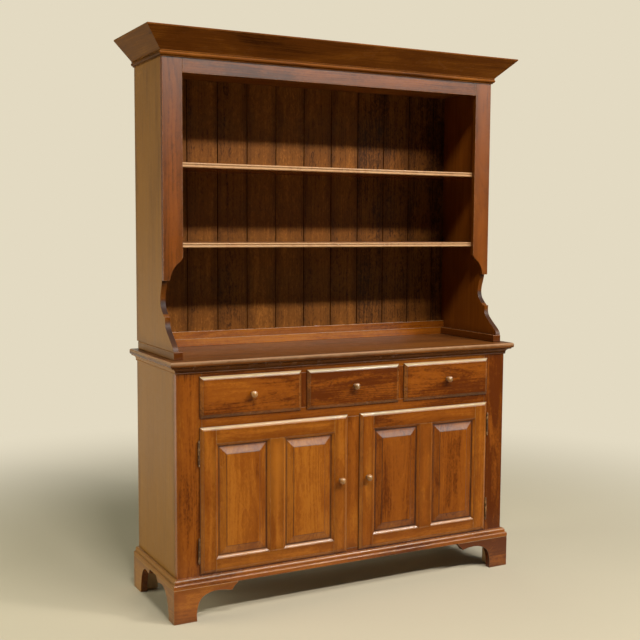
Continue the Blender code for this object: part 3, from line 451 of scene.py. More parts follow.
def turned(profile: Array, centre: Array, axis: int, sign: int, segments: int, seed: int = 0) -> Shell:
    """Turn a profile round an axis.

    A point stands off the axis by the profile's radius times the cosine and the sine of the
    angle, and along the axis by the profile's reach.

    Args:
        profile: Rows of radius and reach, from one pole to the other.
        centre: Place where the reach is zero.
        axis: Axis to turn about.
        sign: Direction of the reach along it.
        segments: Steps round the circle.
        seed: Number of the board.

    Returns:
        The closed shell, whose poles are drawn together.
    """
    angle = np.linspace(0, 2 * math.pi, segments, endpoint=False)
    plane = [other for other in (0, 1, 2) if other != axis]
    points = np.empty((len(profile), segments, 3))
    points[..., plane[0]] = centre[plane[0]] + profile[:, :1] * np.cos(angle)
    points[..., plane[1]] = centre[plane[1]] + profile[:, :1] * np.sin(angle)
    points[..., axis] = centre[axis] + sign * profile[:, 1:]
    none = np.zeros(points.shape[:2])
    return Shell(points, none, none).cut_from(Run.Y, seed, flat=False)


# Pieces


@dataclass
class Piece:
    """A finished piece: its shells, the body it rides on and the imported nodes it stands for.

    Edges sharper than the crease, in degrees, stay sharp, and the tone is added to that of each shell.
    """

    name: str
    shells: list[Shell]
    finish: "Wood | Bronze"
    slot: Slot
    nodes: tuple[str, ...]
    body: str = "root"
    crease: float = 38.0
    tone: float = 0.0

    def surface(self) -> tuple[Array, list[list[int]]]:
        """Put all shells in one list of points and faces, each with its outside outwards.

        A shell is turned inside out where the sum of its faces' volumes about its middle is
        negative.

        Returns:
            Points and faces.
        """
        points, faces, first = [], [], 0
        for shell in self.shells:
            rows, columns = shell.points.shape[:2]
            index = np.arange(rows * columns).reshape(rows, columns)
            after = np.roll(index, -1, axis=1)
            quads = np.stack([index[:-1], after[:-1], after[1:], index[1:]], axis=-1).reshape(-1, 4)
            flat = shell.points.reshape(-1, 3)
            local = flat - flat.mean(axis=0)
            corners = local[quads]
            volume = np.sum(np.cross(corners[:, 0], corners[:, 1]) * corners[:, 2])
            volume += np.sum(np.cross(corners[:, 0], corners[:, 2]) * corners[:, 3])
            caps = [index[0][::-1], index[-1]]
            for cap in caps:
                volume += np.sum(np.cross(local[cap][1:-1], local[cap][2:]) * local[cap][0])
            step = 1 if volume > 0 else -1
            faces += (quads[:, ::step] + first).tolist()
            faces += [(cap[::step] + first).tolist() for cap in caps]
            points.append(flat)
            first += len(flat)
        return np.concatenate(points), faces

    def layers(self) -> dict[str, Array]:
        """Attributes that the finishes read.

        Returns:
            By name: places in the tree, state (wear, grime and tone), way of the grain, the
            distances from the board's low and high sides, and the share of the painted wall reflection.
        """
        made = {"grain": [], "state": [], "lay": [], "low_gap": [], "high_gap": [], "fade": []}
        for shell in self.shells:
            flat = shell.points.reshape(-1, 3)
            tone = np.broadcast_to(shell.shade, shell.points.shape[:2]).reshape(-1) + self.tone
            low, high = shell.gaps()
            made["grain"].append(self.grain_places(shell, flat))
            made["state"].append(np.stack([shell.wear.reshape(-1), shell.grime.reshape(-1), tone], axis=1))
            made["lay"].append(np.tile(np.eye(3)[shell.run.value[0]], (len(flat), 1)))
            made["low_gap"].append(low)
            made["high_gap"].append(high)
            made["fade"].append(np.broadcast_to(shell.fade, shell.points.shape[:2]).reshape(-1))
        return {name: np.concatenate(parts) for name, parts in made.items()}

    @staticmethod
    def grain_places(shell: Shell, flat: Array) -> Array:
        """Places inside the tree: along the trunk, and across and through it from its pith.

        Args:
            shell: Shell with its run and board number.
            flat: Its points, one row each.

        Returns:
            One row of three numbers for each point.
        """
        places = flat[:, list(shell.run.value)].copy()
        middle = (places.min(axis=0) + places.max(axis=0)) / 2
        places[:, 0] += 3.1 * shell.seed
        places[:, 1] += 0.11 * (scatter(shell.seed, 0.2) - 0.5) - middle[1]
        places[:, 2] += 0.05 + 0.09 * scatter(shell.seed, 0.4) - middle[2]
        return places

    def make(self) -> bpy.types.Object:
        """Build the mesh, dress it and put it in the frame.

        Returns:
            The finished object at the origin.
        """
        points, faces = self.surface()
        mesh = bpy.data.meshes.new(self.name)
        mesh.from_pydata(points.tolist(), [], faces)
        for title, values in self.layers().items():
            single = values.ndim == 1
            layer = mesh.attributes.new(title, "FLOAT" if single else "FLOAT_VECTOR", "POINT")
            layer.data.foreach_set("value" if single else "vector", values.astype(np.float32).ravel())
        work = bmesh.new()
        work.from_mesh(mesh)
        bmesh.ops.remove_doubles(work, verts=work.verts, dist=WELD)
        work.to_mesh(mesh)
        work.free()
        mesh.shade_smooth()
        mesh.set_sharp_from_angle(angle=math.radians(self.crease))
        piece = bpy.data.objects.new(self.name, mesh)
        bpy.context.scene.collection.objects.link(piece)
        weighted = piece.modifiers.new("Even shading", "WEIGHTED_NORMAL")
        weighted.keep_sharp = True
        mesh.materials.append(self.finish.material())
        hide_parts(*self.nodes)
        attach(piece, self.body)
        LOG.info("%s: %d faces on %s", self.name, len(mesh.polygons), self.body)
        return piece


@dataclass(frozen=True)
class Place:
    """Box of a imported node."""

    low: Array
    high: Array

    @classmethod
    def of(cls, node: str) -> "Place":
        """Read the box of a node from the frame."""
        low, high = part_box(node)
        return cls(np.array(low), np.array(high))

    @property
    def middle(self) -> Array:
        """Middle of the box."""
        return (self.low + self.high) / 2

    @property
    def size(self) -> Array:
        """Lengths of the box along the three axes."""
        return self.high - self.low

    def outer(self, side: Side) -> float:
        """Place along X of the face that looks out on one side."""
        return self.high[0] if side is Side.RIGHT else self.low[0]

    def board(self, run: Run, seed: int, radius: float = 0.0012) -> Shell:
        """Board that fills the box."""
        return board(self.low, self.high, run, radius, seed)


# Finishes


class Graph:
    """Shader tree with short ways to add nodes and join them."""

    def __init__(self, tree: bpy.types.NodeTree) -> None:
        """Keep the tree that the nodes go into."""
        self.tree = tree

    def put(self, socket: bpy.types.NodeSocket, value: object) -> None:
        """Link a socket to another one, or set its value.

        Args:
            socket: Input socket.
            value: Output socket, or a plain value.
        """
        if isinstance(value, bpy.types.NodeSocket):
            self.tree.links.new(value, socket)
        else:
            socket.default_value = value

    def add(self, kind: str, inputs: dict[str | int, object] | None = None,
            **settings: object) -> bpy.types.Node:
        """Add a node.

        Args:
            kind: Blender's name of the node type.
            inputs: Value or link of each input, by name or number.
            **settings: Properties of the node.

        Returns:
            The node.
        """
        node = self.tree.nodes.new(kind)
        for name, value in settings.items():
            setattr(node, name, value)
        self.fill(node, inputs or {})
        return node

    def fill(self, node: bpy.types.Node, values: dict[str | int, object]) -> None:
        """Link or set several inputs of a node.

        Args:
            node: The node.
            values: Value or link of each input, by name or number.
        """
        for key, value in values.items():
            self.put(node.inputs[key], value)

    def math(self, operation: str, *values: object, clamp: bool = False) -> bpy.types.NodeSocket:
        """Result of one sum on plain numbers."""
        node = self.add("ShaderNodeMath", dict(enumerate(values)), operation=operation, use_clamp=clamp)
        return node.outputs[0]

    def vector(self, operation: str, *values: object) -> bpy.types.NodeSocket:
        """Result of one sum on vectors: a number for lengths and products, otherwise a vector."""
        node = self.add("ShaderNodeVectorMath", dict(enumerate(values)), operation=operation)
        return node.outputs["Value" if operation in ("DOT_PRODUCT", "LENGTH") else "Vector"]

    def product(self, *values: object) -> bpy.types.NodeSocket:
        """Multiply values or links with one another."""
        result = values[0]
        for value in values[1:]:
            result = self.math("MULTIPLY", result, value)
        return result

    def noise(self, place: object, stretch: Point, detail: float = 2.0, rough: float = 0.5,
              warp: float = 0.0) -> bpy.types.NodeSocket:
        """Cloudy value from 0 to 1.

        Args:
            place: Vector to read.
            stretch: Clouds for each metre along the three axes.
            detail: Finer layers on the clouds.
            rough: Strength of the finer layers.
            warp: How far the clouds are bent.

        Returns:
            Socket of the value.
        """
        inputs = {
            "Vector": self.vector("MULTIPLY", place, stretch), "Scale": 1.0, "Detail": detail,
            "Roughness": rough, "Distortion": warp,
        }
        return self.add("ShaderNodeTexNoise", inputs).outputs["Fac"]

    def span(self, value: object, low: float, high: float, to_low: object = 0.0,
             to_high: object = 1.0) -> bpy.types.NodeSocket:
        """Ease a value from one range to another, held at both ends.

        Args:
            value: Value or link.
            low: Start of its range.
            high: End of its range.
            to_low: Result at the start.
            to_high: Result at the end.

        Returns:
            Socket of the result.
        """
        inputs = {"Value": value, "From Min": low, "From Max": high, "To Min": to_low, "To Max": to_high}
        node = self.add("ShaderNodeMapRange", inputs, interpolation_type="SMOOTHSTEP")
        return node.outputs["Result"]

    def blend(self, factor: object, first: object, second: object, mode: str = "MIX") -> bpy.types.NodeSocket:
        """Mix two colours.

        Args:
            factor: Share of the second.
            first: First colour or link.
            second: Second colour or link.
            mode: Way of mixing.

        Returns:
            Socket of the mixed colour.
        """
        node = self.add("ShaderNodeMix", {0: factor}, data_type="RGBA", blend_type=mode)
        for socket, value in ((node.inputs[6], first), (node.inputs[7], second)):
            self.put(socket, (*value, 1.0) if isinstance(value, tuple) and len(value) == 3 else value)
        return node.outputs[2]


def new_group(name: str, inputs: dict[str, str],
              outputs: dict[str, str]) -> tuple[Graph, dict[str, bpy.types.NodeSocket], bpy.types.Node]:
    """Start a node group with named sockets.

    Args:
        name: Name of the group.
        inputs: Kind of socket for each input.
        outputs: Kind of socket for each output.

    Returns:
        Its graph, its input sockets by name and its output node.
    """
    tree = bpy.data.node_groups.new(name, "ShaderNodeTree")
    for direction, sockets in (("INPUT", inputs), ("OUTPUT", outputs)):
        for title, kind in sockets.items():
            tree.interface.new_socket(name=title, in_out=direction, socket_type="NodeSocket" + kind)
    graph = Graph(tree)
    source = graph.add("NodeGroupInput")
    return graph, {title: source.outputs[title] for title in inputs}, graph.add("NodeGroupOutput")


def wood_group() -> bpy.types.NodeTree:
    """Grain of a board: smoky clouds, streaks, growth rings about the pith, fibres, flecks and mottle.

    Returns:
        Group that gives the colour, a value for the gloss and the height of the fibres.
    """
    name = "Wood grain"
    if name in bpy.data.node_groups:
        return bpy.data.node_groups[name]
    graph, given, result = new_group(
        name,
        {"Grain": "Vector", "Tone": "Float", "End": "Float", "Light": "Color", "Middle": "Color",
         "Dark": "Color", "Cloud": "Float", "Streak": "Float", "Ring": "Float", "Mottle": "Float"},
        {"Color": "Color", "Gloss": "Float", "Height": "Float"},
    )
    grain = given["Grain"]
    cloud = graph.noise(grain, (2.6, 13.0, 13.0), 3.0, 0.55, 0.8)
    broad = graph.noise(grain, (0.9, 4.0, 4.0), 2.0, 0.5, 0.3)
    streak = graph.noise(grain, (3.2, 95.0, 95.0), 4.0, 0.62, 0.25)
    fibre = graph.noise(grain, (26.0, 1100.0, 1100.0), 2.0, 0.6)
    mottle = graph.noise(grain, (34.0, 62.0, 62.0), 3.0, 0.7, 1.4)
    specks = graph.noise(grain, (95.0, 230.0, 230.0), 2.0, 0.65, 0.6)
    warp = graph.noise(grain, (1.6, 5.0, 5.0), 2.0, 0.5)
    trunk = graph.vector("LENGTH", graph.vector("MULTIPLY", grain, (0.0, 1.0, 1.0)))
    bent = graph.math("MULTIPLY_ADD", warp, 0.055, trunk)
    rings = graph.math("FRACT", graph.math("MULTIPLY", bent, 155.0))
    late = graph.span(rings, 0.45, 0.98)
    flecks = graph.noise(grain, (120.0, 1500.0, 1500.0), 1.0, 0.5)
    fleck = graph.span(flecks, 0.66, 0.76)
    value = 0.5
    fine = graph.math("MULTIPLY", given["Mottle"], 0.6)
    for cloudy, share in ((cloud, given["Cloud"]), (broad, given["Cloud"]), (streak, given["Streak"]),
                          (mottle, given["Mottle"]), (specks, fine), (fibre, 0.16)):
        value = graph.math("MULTIPLY_ADD", graph.math("SUBTRACT", cloudy, 0.5), share, value)
    value = graph.math("MULTIPLY_ADD", graph.math("SUBTRACT", 0.4, late), given["Ring"], value)
    value = graph.math("MULTIPLY_ADD", given["Tone"], 0.30, value)
    value = graph.math("MULTIPLY_ADD", given["End"], -0.34, value, clamp=True)
    colour = graph.blend(graph.span(value, 0.0, 0.5), given["Dark"], given["Middle"])
    colour = graph.blend(graph.span(value, 0.5, 1.0), colour, given["Light"])
    marked = graph.math("MULTIPLY", fleck, 0.35)
    colour = graph.blend(marked, colour, given["Dark"])
    height = graph.math("MULTIPLY_ADD", late, -0.35, fibre)
    height = graph.math("SUBTRACT", height, graph.math("MULTIPLY", fleck, 0.8))
    gloss = graph.math("MULTIPLY_ADD", streak, 0.5, graph.math("MULTIPLY", cloud, 0.5))
    graph.fill(result, {"Color": colour, "Gloss": gloss, "Height": height})
    return graph.tree


def marks_and_highlight_group() -> bpy.types.NodeTree:
    """Marks of use and painted highlights: rubbed arrises, glaze left near the rim, dirt in quirks, dust on
    tops, smudges and a painted highlight on slopes that face up.

    The distance from the rim is the least of the distances from the board's sides, those that
    the surface faces left out. Slopes that face partly up get a painted highlight in the wear mask,
    stronger where the state's wear is higher.

    Returns:
        Group that gives the masks, with the tone and the share of end grain.
    """
    name = "Marks of use"
    if name in bpy.data.node_groups:
        return bpy.data.node_groups[name]
    graph, given, result = new_group(
        name,
        {"Place": "Vector", "State": "Vector", "Lay": "Vector", "Low Gap": "Vector", "High Gap": "Vector",
         "Facing": "Vector"},
        {"Wear": "Float", "Grime": "Float", "Glaze": "Float", "Dust": "Float", "Smudge": "Float",
         "Tone": "Float", "End": "Float"},
    )
    worn_and_highlit, grimy, tone = graph.add("ShaderNodeSeparateXYZ", {0: given["State"]}).outputs
    chips = graph.noise(given["Place"], (60.0, 60.0, 60.0), 3.0, 0.6, 0.4)
    patchy = graph.noise(given["Place"], (7.0, 7.0, 7.0), 3.0, 0.55, 0.5)
    smudge = graph.noise(given["Place"], (15.0, 15.0, 22.0), 4.0, 0.6, 1.1)
    upward = graph.add("ShaderNodeSeparateXYZ", {0: given["Facing"]}).outputs[2]
    near = graph.vector("MINIMUM", given["Low Gap"], given["High Gap"])
    away = graph.vector("ADD", near, graph.vector("ABSOLUTE", given["Facing"]))
    sides = graph.add("ShaderNodeSeparateXYZ", {0: away}).outputs
    rim = graph.math("MINIMUM", graph.math("MINIMUM", sides[0], sides[1]), sides[2])
    ragged = graph.math("MULTIPLY_ADD", graph.math("SUBTRACT", chips, 0.5), 0.010, rim)
    cloudy = graph.math("MULTIPLY_ADD", graph.math("SUBTRACT", patchy, 0.5), 0.050, rim)
    broken = graph.math("MULTIPLY", graph.span(chips, 0.3, 0.62, 0.55), graph.span(patchy, 0.3, 0.6, 0.6))
    ends = graph.math("ABSOLUTE", graph.vector("DOT_PRODUCT", given["Facing"], given["Lay"]))
    rubbed = graph.product(graph.span(ragged, 0.0045, 0.0), 0.15)
    rubbed = graph.math("MAXIMUM", rubbed, graph.math("MULTIPLY", worn_and_highlit, broken, clamp=True))
    # Painted highlight: slopes that face partly up, more so where the state's wear is high.
    slope = graph.product(
        graph.span(upward, 0.26, 0.50), graph.span(upward, 0.93, 0.75),
        graph.span(patchy, 0.25, 0.65, 0.7, 1.0),
        graph.math("MINIMUM", graph.math("MULTIPLY_ADD", worn_and_highlit, 5.0, 0.25), 0.85),
    )
    # The Wear mask holds the rubbed wear and the painted highlight of up-facing slopes.
    graph.fill(result, {
        "Wear": graph.math("MAXIMUM", rubbed, slope),
        "Grime": graph.product(grimy, graph.span(patchy, 0.2, 0.6, 0.55, 1.0)),
        "Glaze": graph.span(cloudy, 0.034, 0.0),
        "Dust": graph.product(graph.span(upward, 0.72, 0.97), smudge),
        "Smudge": smudge, "Tone": tone, "End": graph.span(ends, 0.55, 0.95),
    })
    return graph.tree


def new_material(name: str) -> tuple[bpy.types.Material, Graph, bpy.types.Node]:
    """Make a material with nodes.

    Args:
        name: Name of the material.

    Returns:
        The material, its graph and its shader.
    """
    material = bpy.data.materials.new(name)
    material.use_nodes = True
    return material, Graph(material.node_tree), material.node_tree.nodes["Principled BSDF"]


@dataclass(frozen=True)
class Wood:
    """A stained and lacquered wood, or plain wood where the lacquer is thin.

    The light, the middle and the dark are the colours of its grain. The cloud, the streak, the
    ring and the mottle are shares of its patterns, and the wear, the glaze and the dust of its
    marks. The worn_and_highlit colour shows where it is rubbed and also paints highlights on
    arrises, nosings and up-facing slopes, and the reflection_tint multiplies its colours as a
    painted reflection of a pale warm wall on outer faces.
    """

    name: str
    light: Colour
    middle: Colour
    dark: Colour
    rough: float = 0.22
    cloud: float = 1.3
    streak: float = 0.9
    ring: float = 0.14
    mottle: float = 0.32
    coat: float = 0.15
    specular: float = 0.45
    worn_and_highlit: Colour = (0.46, 0.19, 0.045)
    wear: float = 0.75
    glaze: float = 0.45
    dust: float = 0.10
    reflection_tint: Colour = (0.85, 1.20, 2.00)

    def material(self) -> bpy.types.Material:
        """Build the material once, and give it out again after that.

        Returns:
            The material.
        """
        if self.name in bpy.data.materials:
            return bpy.data.materials[self.name]
        material, graph, shader = new_material(self.name)
        place = graph.add("ShaderNodeTexCoord").outputs
        grain, state, lay, low, high = (
            graph.add("ShaderNodeAttribute", attribute_name=title).outputs["Vector"]
            for title in ("grain", "state", "lay", "low_gap", "high_gap")
        )
        marks = graph.add("ShaderNodeGroup", {}, node_tree=marks_and_highlight_group(), label="Marks of use")
        graph.fill(marks, {
            "Place": place["Object"], "State": state, "Lay": lay, "Low Gap": low, "High Gap": high,
            "Facing": place["Normal"],
        })
        marks = marks.outputs
        wood = graph.add("ShaderNodeGroup", {}, node_tree=wood_group(), label="Wood grain")
        graph.fill(wood, {
            "Grain": grain, "Tone": marks["Tone"], "End": marks["End"],
            "Light": (*self.light, 1.0), "Middle": (*self.middle, 1.0), "Dark": (*self.dark, 1.0),
            "Cloud": self.cloud, "Streak": self.streak, "Ring": self.ring, "Mottle": self.mottle,
        })
        wood = wood.outputs
        fade = graph.add("ShaderNodeAttribute", attribute_name="fade").outputs["Fac"]
        colour = graph.blend(graph.product(marks["Glaze"], self.glaze), wood["Color"], self.dark)
        # Painted reflection of a pale warm wall: the reflection_tint multiplies the colour of the outer faces.
        colour = graph.blend(fade, colour, self.reflection_tint, "MULTIPLY")
        # The worn_and_highlit colour paints both rubbed wear and highlights on arrises, nosings and up-facing
        # slopes.
        colour = graph.blend(graph.product(marks["Wear"], self.wear), colour, self.worn_and_highlit)
        shade = tuple(GRIME_SHADE * part for part in self.dark)
        colour = graph.blend(graph.product(marks["Grime"], 0.9), colour, shade)
        colour = graph.blend(graph.product(marks["Dust"], self.dust), colour, DUST)
        rough = self.rough - 0.10
        for mark, more in ((marks["Smudge"], 0.12), (wood["Gloss"], 0.08), (marks["Grime"], 0.25),
                           (marks["Dust"], 0.10), (marks["Wear"], 0.30), (fade, 0.18)):
            rough = graph.math("MULTIPLY_ADD", mark, more, rough)
        bump = graph.add("ShaderNodeBump", {"Strength": 0.28, "Distance": 0.0004, "Height": wood["Height"]})
        graph.fill(shader, {
            "Base Color": colour, "Roughness": rough, "Normal": bump.outputs[0],
            "Specular IOR Level": self.specular, "Coat Weight": self.coat, "Coat Roughness": 0.10,
        })
        return material


@dataclass(frozen=True)
class Bronze:
    """Darkened brass of the hinges, with bright patches that paint highlights as well as rubbed spots."""

    name: str = "dark_bronze"
    dark: Colour = (0.105, 0.048, 0.018)
    bright: Colour = (0.78, 0.46, 0.19)

    def material(self) -> bpy.types.Material:
        """Build the material once, and give it out again after that.

        Returns:
            The material.
        """
        if self.name in bpy.data.materials:
            return bpy.data.materials[self.name]
        material, graph, shader = new_material(self.name)
        place = graph.add("ShaderNodeTexCoord").outputs["Object"]
        patches = graph.noise(place, (90.0, 90.0, 55.0), 4.0, 0.6, 0.5)
        scratches = graph.noise(place, (900.0, 900.0, 60.0), 2.0, 0.5)
        # Bright patches by noise: painted highlights on the dark bronze, and rubbed brass.
        rubbed = graph.product(graph.span(patches, 0.45, 0.7), graph.span(scratches, 0.35, 0.7))
        bump = graph.add("ShaderNodeBump", {"Strength": 0.25, "Distance": 0.0003, "Height": scratches})
        graph.fill(shader, {
            "Base Color": graph.blend(rubbed, self.dark, self.bright), "Metallic": 0.35,
            "Roughness": graph.span(patches, 0.3, 0.7, 0.52, 0.30), "Normal": bump.outputs[0],
        })
        return material


FRONT = Wood(
    "cherry_front_lacquer", (0.370, 0.118, 0.009), (0.245, 0.064, 0.004), (0.095, 0.019, 0.001), streak=0.6,
    cloud=1.4, mottle=0.65, worn_and_highlit=(0.43, 0.31, 0.11),
)
UPPER = Wood(
    "cherry_hutch_lacquer", (0.270, 0.078, 0.007), (0.175, 0.044, 0.003), (0.065, 0.016, 0.001), rough=0.24,
    cloud=0.9, streak=0.7, mottle=0.45, worn_and_highlit=(0.46, 0.26, 0.11),
)
CROWN = Wood(
    "cherry_crown_lacquer", (0.190, 0.060, 0.006), (0.115, 0.032, 0.003), (0.045, 0.012, 0.001), rough=0.26,
    specular=0.04, coat=0.0, glaze=0.3, reflection_tint=(0.78, 1.08, 1.50),
)
KNOB = Wood(
    "knob_lacquer", (0.420, 0.185, 0.045), (0.300, 0.115, 0.025), (0.100, 0.032, 0.006), rough=0.10,
    specular=0.8, coat=0.9, worn_and_highlit=(0.56, 0.32, 0.11), wear=0.6,
)
SIDE = Wood(
    "cherry_side_lacquer", (0.255, 0.072, 0.006), (0.185, 0.050, 0.004), (0.100, 0.024, 0.002), rough=0.22,
    cloud=0.6, ring=0.08, mottle=0.12, coat=0.0, specular=0.30, worn_and_highlit=(0.42, 0.20, 0.07), wear=0.3,
    reflection_tint=(1.04, 1.63, 2.2),
)
# Its pale worn_and_highlit colour also paints the highlight along the nosing.
COUNTER = Wood(
    "cherry_counter_lacquer", (0.180, 0.054, 0.005), (0.120, 0.033, 0.003), (0.052, 0.014, 0.002), rough=0.26,
    coat=0.08, specular=0.20, dust=0.02, worn_and_highlit=(0.62, 0.39, 0.21), wear=0.3, glaze=0.6,
)
BOARDING = Wood(
    "back_board_stain", (0.350, 0.128, 0.020), (0.190, 0.064, 0.009), (0.050, 0.016, 0.003), rough=0.62,
    cloud=0.8, streak=0.7, mottle=1.1, wear=0.2, specular=0.12, coat=0.0,
)
PLAIN = Wood(
    "plain_inner_wood", (0.50, 0.33, 0.17), (0.40, 0.245, 0.115), (0.27, 0.15, 0.065), rough=0.62,
    cloud=0.7, coat=0.0, specular=0.25, worn_and_highlit=(0.5, 0.36, 0.2), wear=0.3, glaze=0.25,
)
BRONZE = Bronze()


# Profiles shared by the lipped doors and drawers


def thumb(width: float, depth: float, fillet: float, steps: int = 10) -> Array:
    """Thumb moulding: a small square step, then a slope that falls faster outwards.

    The depth is the fillet plus the rest of the depth times 0.55 of the way out plus 0.45 of its
    square.

    Args:
        width: Width on the face.
        depth: Whole depth.
        fillet: Depth of the square step.
        steps: Pieces of the slope.

    Returns:
        Rows of inset and depth, from the face to the outer edge.
    """
    way = np.linspace(0, 1, steps + 1)
    slope = np.stack([width * (1 - way), fillet + (depth - fillet) * (0.55 * way + 0.45 * way ** 2)], axis=1)
    return np.concatenate([[(width, 0.0)], slope])


@dataclass(frozen=True)
class Edge:
    """Moulded edge of doors and drawers."""

    width: float = 0.0125
    depth: float = 0.0075
    fillet: float = 0.0008
    thickness: float = 0.020
    lip: float = 0.009

    def profile(self) -> Array:
        """Rows of inset and depth of the edge."""
        return thumb(self.width, self.depth, self.fillet)


@dataclass(frozen=True)
class Knob:
    """Turned wooden knob."""

    name: str
    body: str
    seed: int
    segments: int = 48

    def build(self) -> None:
        """Turn the knob about its own Y axis: foot, thin neck, domed head."""
        place = Place.of(self.name)
        head = np.array([
            (0.48, 0.15), (0.42, 0.27), (0.54, 0.38), (0.88, 0.47), (1.00, 0.58), (0.95, 0.72),
            (0.74, 0.87), (0.38, 0.97), (0.00, 1.00),
        ])
        foot = np.array([(0.0, 0.0), (0.63, 0.0), (0.66, 0.012), (0.66, 0.045), (0.62, 0.07)])
        shares = np.concatenate([foot, smooth_run(head, 5)])
        profile = shares * np.array([place.size[0] / 2, place.size[1]])
        centre = np.array([place.middle[0], place.high[1], place.middle[2]])
        shell = turned(profile, centre, 1, -1, self.segments, self.seed)
        wear = np.interp(shares[:, 1], [0.5, 0.75, 1.0], [0.0, 0.35, 0.8])
        grime = np.interp(shares[:, 1], [0.0, 0.2, 0.42], [0.6, 0.9, 0.0])
        shell.wear, shell.grime = (np.repeat(level[:, None], self.segments, axis=1) for level in (wear, grime))
        Piece(self.name + "_turned", [shell], KNOB, Slot.FRONT, (self.name,), self.body).make()


@dataclass(frozen=True)
class Member:
    """Board of a door frame: where it starts, the way across it and the way along it.

    Its bends are worn and dirty, and so is the quirk, which lies between two depths.
    """

    origin: Array
    across: Array
    along: Array
    run: Run
    seed: int
    wear: float = 0.1
    grime: float = 0.4
    quirk_start: float = 0.0062
    quirk_rise: float = 0.0018
    quirk_end: float = 0.0095

    def carry(self, outline: Array, rows: Array, soft: float = 0.0005, rim: float = 0.0) -> Shell:
        """Carry a section along the member.

        A point stands across by the section's first number, back by the deeper of the section's
        second number and the row's own floor, and along by the row's place.

        Args:
            outline: Closed section, as the way across and the depth.
            rows: Place along and floor of each row.
            soft: Rounding of the section's corners.
            rim: Width of the moulding along its outer edge, which hands wear as they wear its ends.

        Returns:
            The closed shell.
        """
        shape, bend = softened(ring(outline), soft)
        across = np.repeat(shape[None, :, 0], len(rows), axis=0)
        depth = np.maximum(shape[None, :, 1], rows[:, 1:])
        along = np.repeat(rows[:, :1], len(shape), axis=1)
        shell = self.shell(across, depth, along, bend)
        shell.wear = np.maximum(shell.wear, HANDLED * ((across < rim) | (rows[:, 1:] > 0)))
        return shell

    def strip(self, outline: Array, start: float, end: float, soft: float = 0.0005) -> Shell:
        """Carry a section between two mitres: each point stands in from both ends as far as it stands across.

        Args:
            outline: Closed section, as the way across from the mitre's corner and the depth.
            start: Corner at the low end.
            end: Corner at the high end.
            soft: Rounding of the section's corners.

        Returns:
            The closed shell.
        """
        shape, bend = softened(ring(outline), soft)
        across = np.repeat(shape[None, :, 0], 2, axis=0)
        depth = np.repeat(shape[None, :, 1], 2, axis=0)
        along = np.stack([start + shape[:, 0], end - shape[:, 0]])
        return self.shell(across, depth, along, bend)

    def shell(self, across: Array, depth: Array, along: Array, bend: Array) -> Shell:
        """Turn section numbers into places, with the wear and grime of their bends and of the quirk.

        Args:
            across: Way across of each point.
            depth: Way back of each point.
            along: Way along of each point.
            bend: Bend of each corner of the section.

        Returns:
            The closed shell.
        """
        rows = len(across)
        points = self.origin + across[..., None] * self.across + along[..., None] * self.along
        points = points + depth[..., None] * INTO
        wear = np.repeat(self.wear * np.clip(bend, 0, 1)[None], rows, axis=0)
        grime = np.repeat(np.where(bend > 0, self.grime * bend, -bend)[None], rows, axis=0)
        quirk = np.clip((depth - self.quirk_start) / self.quirk_rise, 0, 1) * (depth < self.quirk_end)
        return Shell(points, wear, np.maximum(grime, quirk)).cut_from(self.run, self.seed)


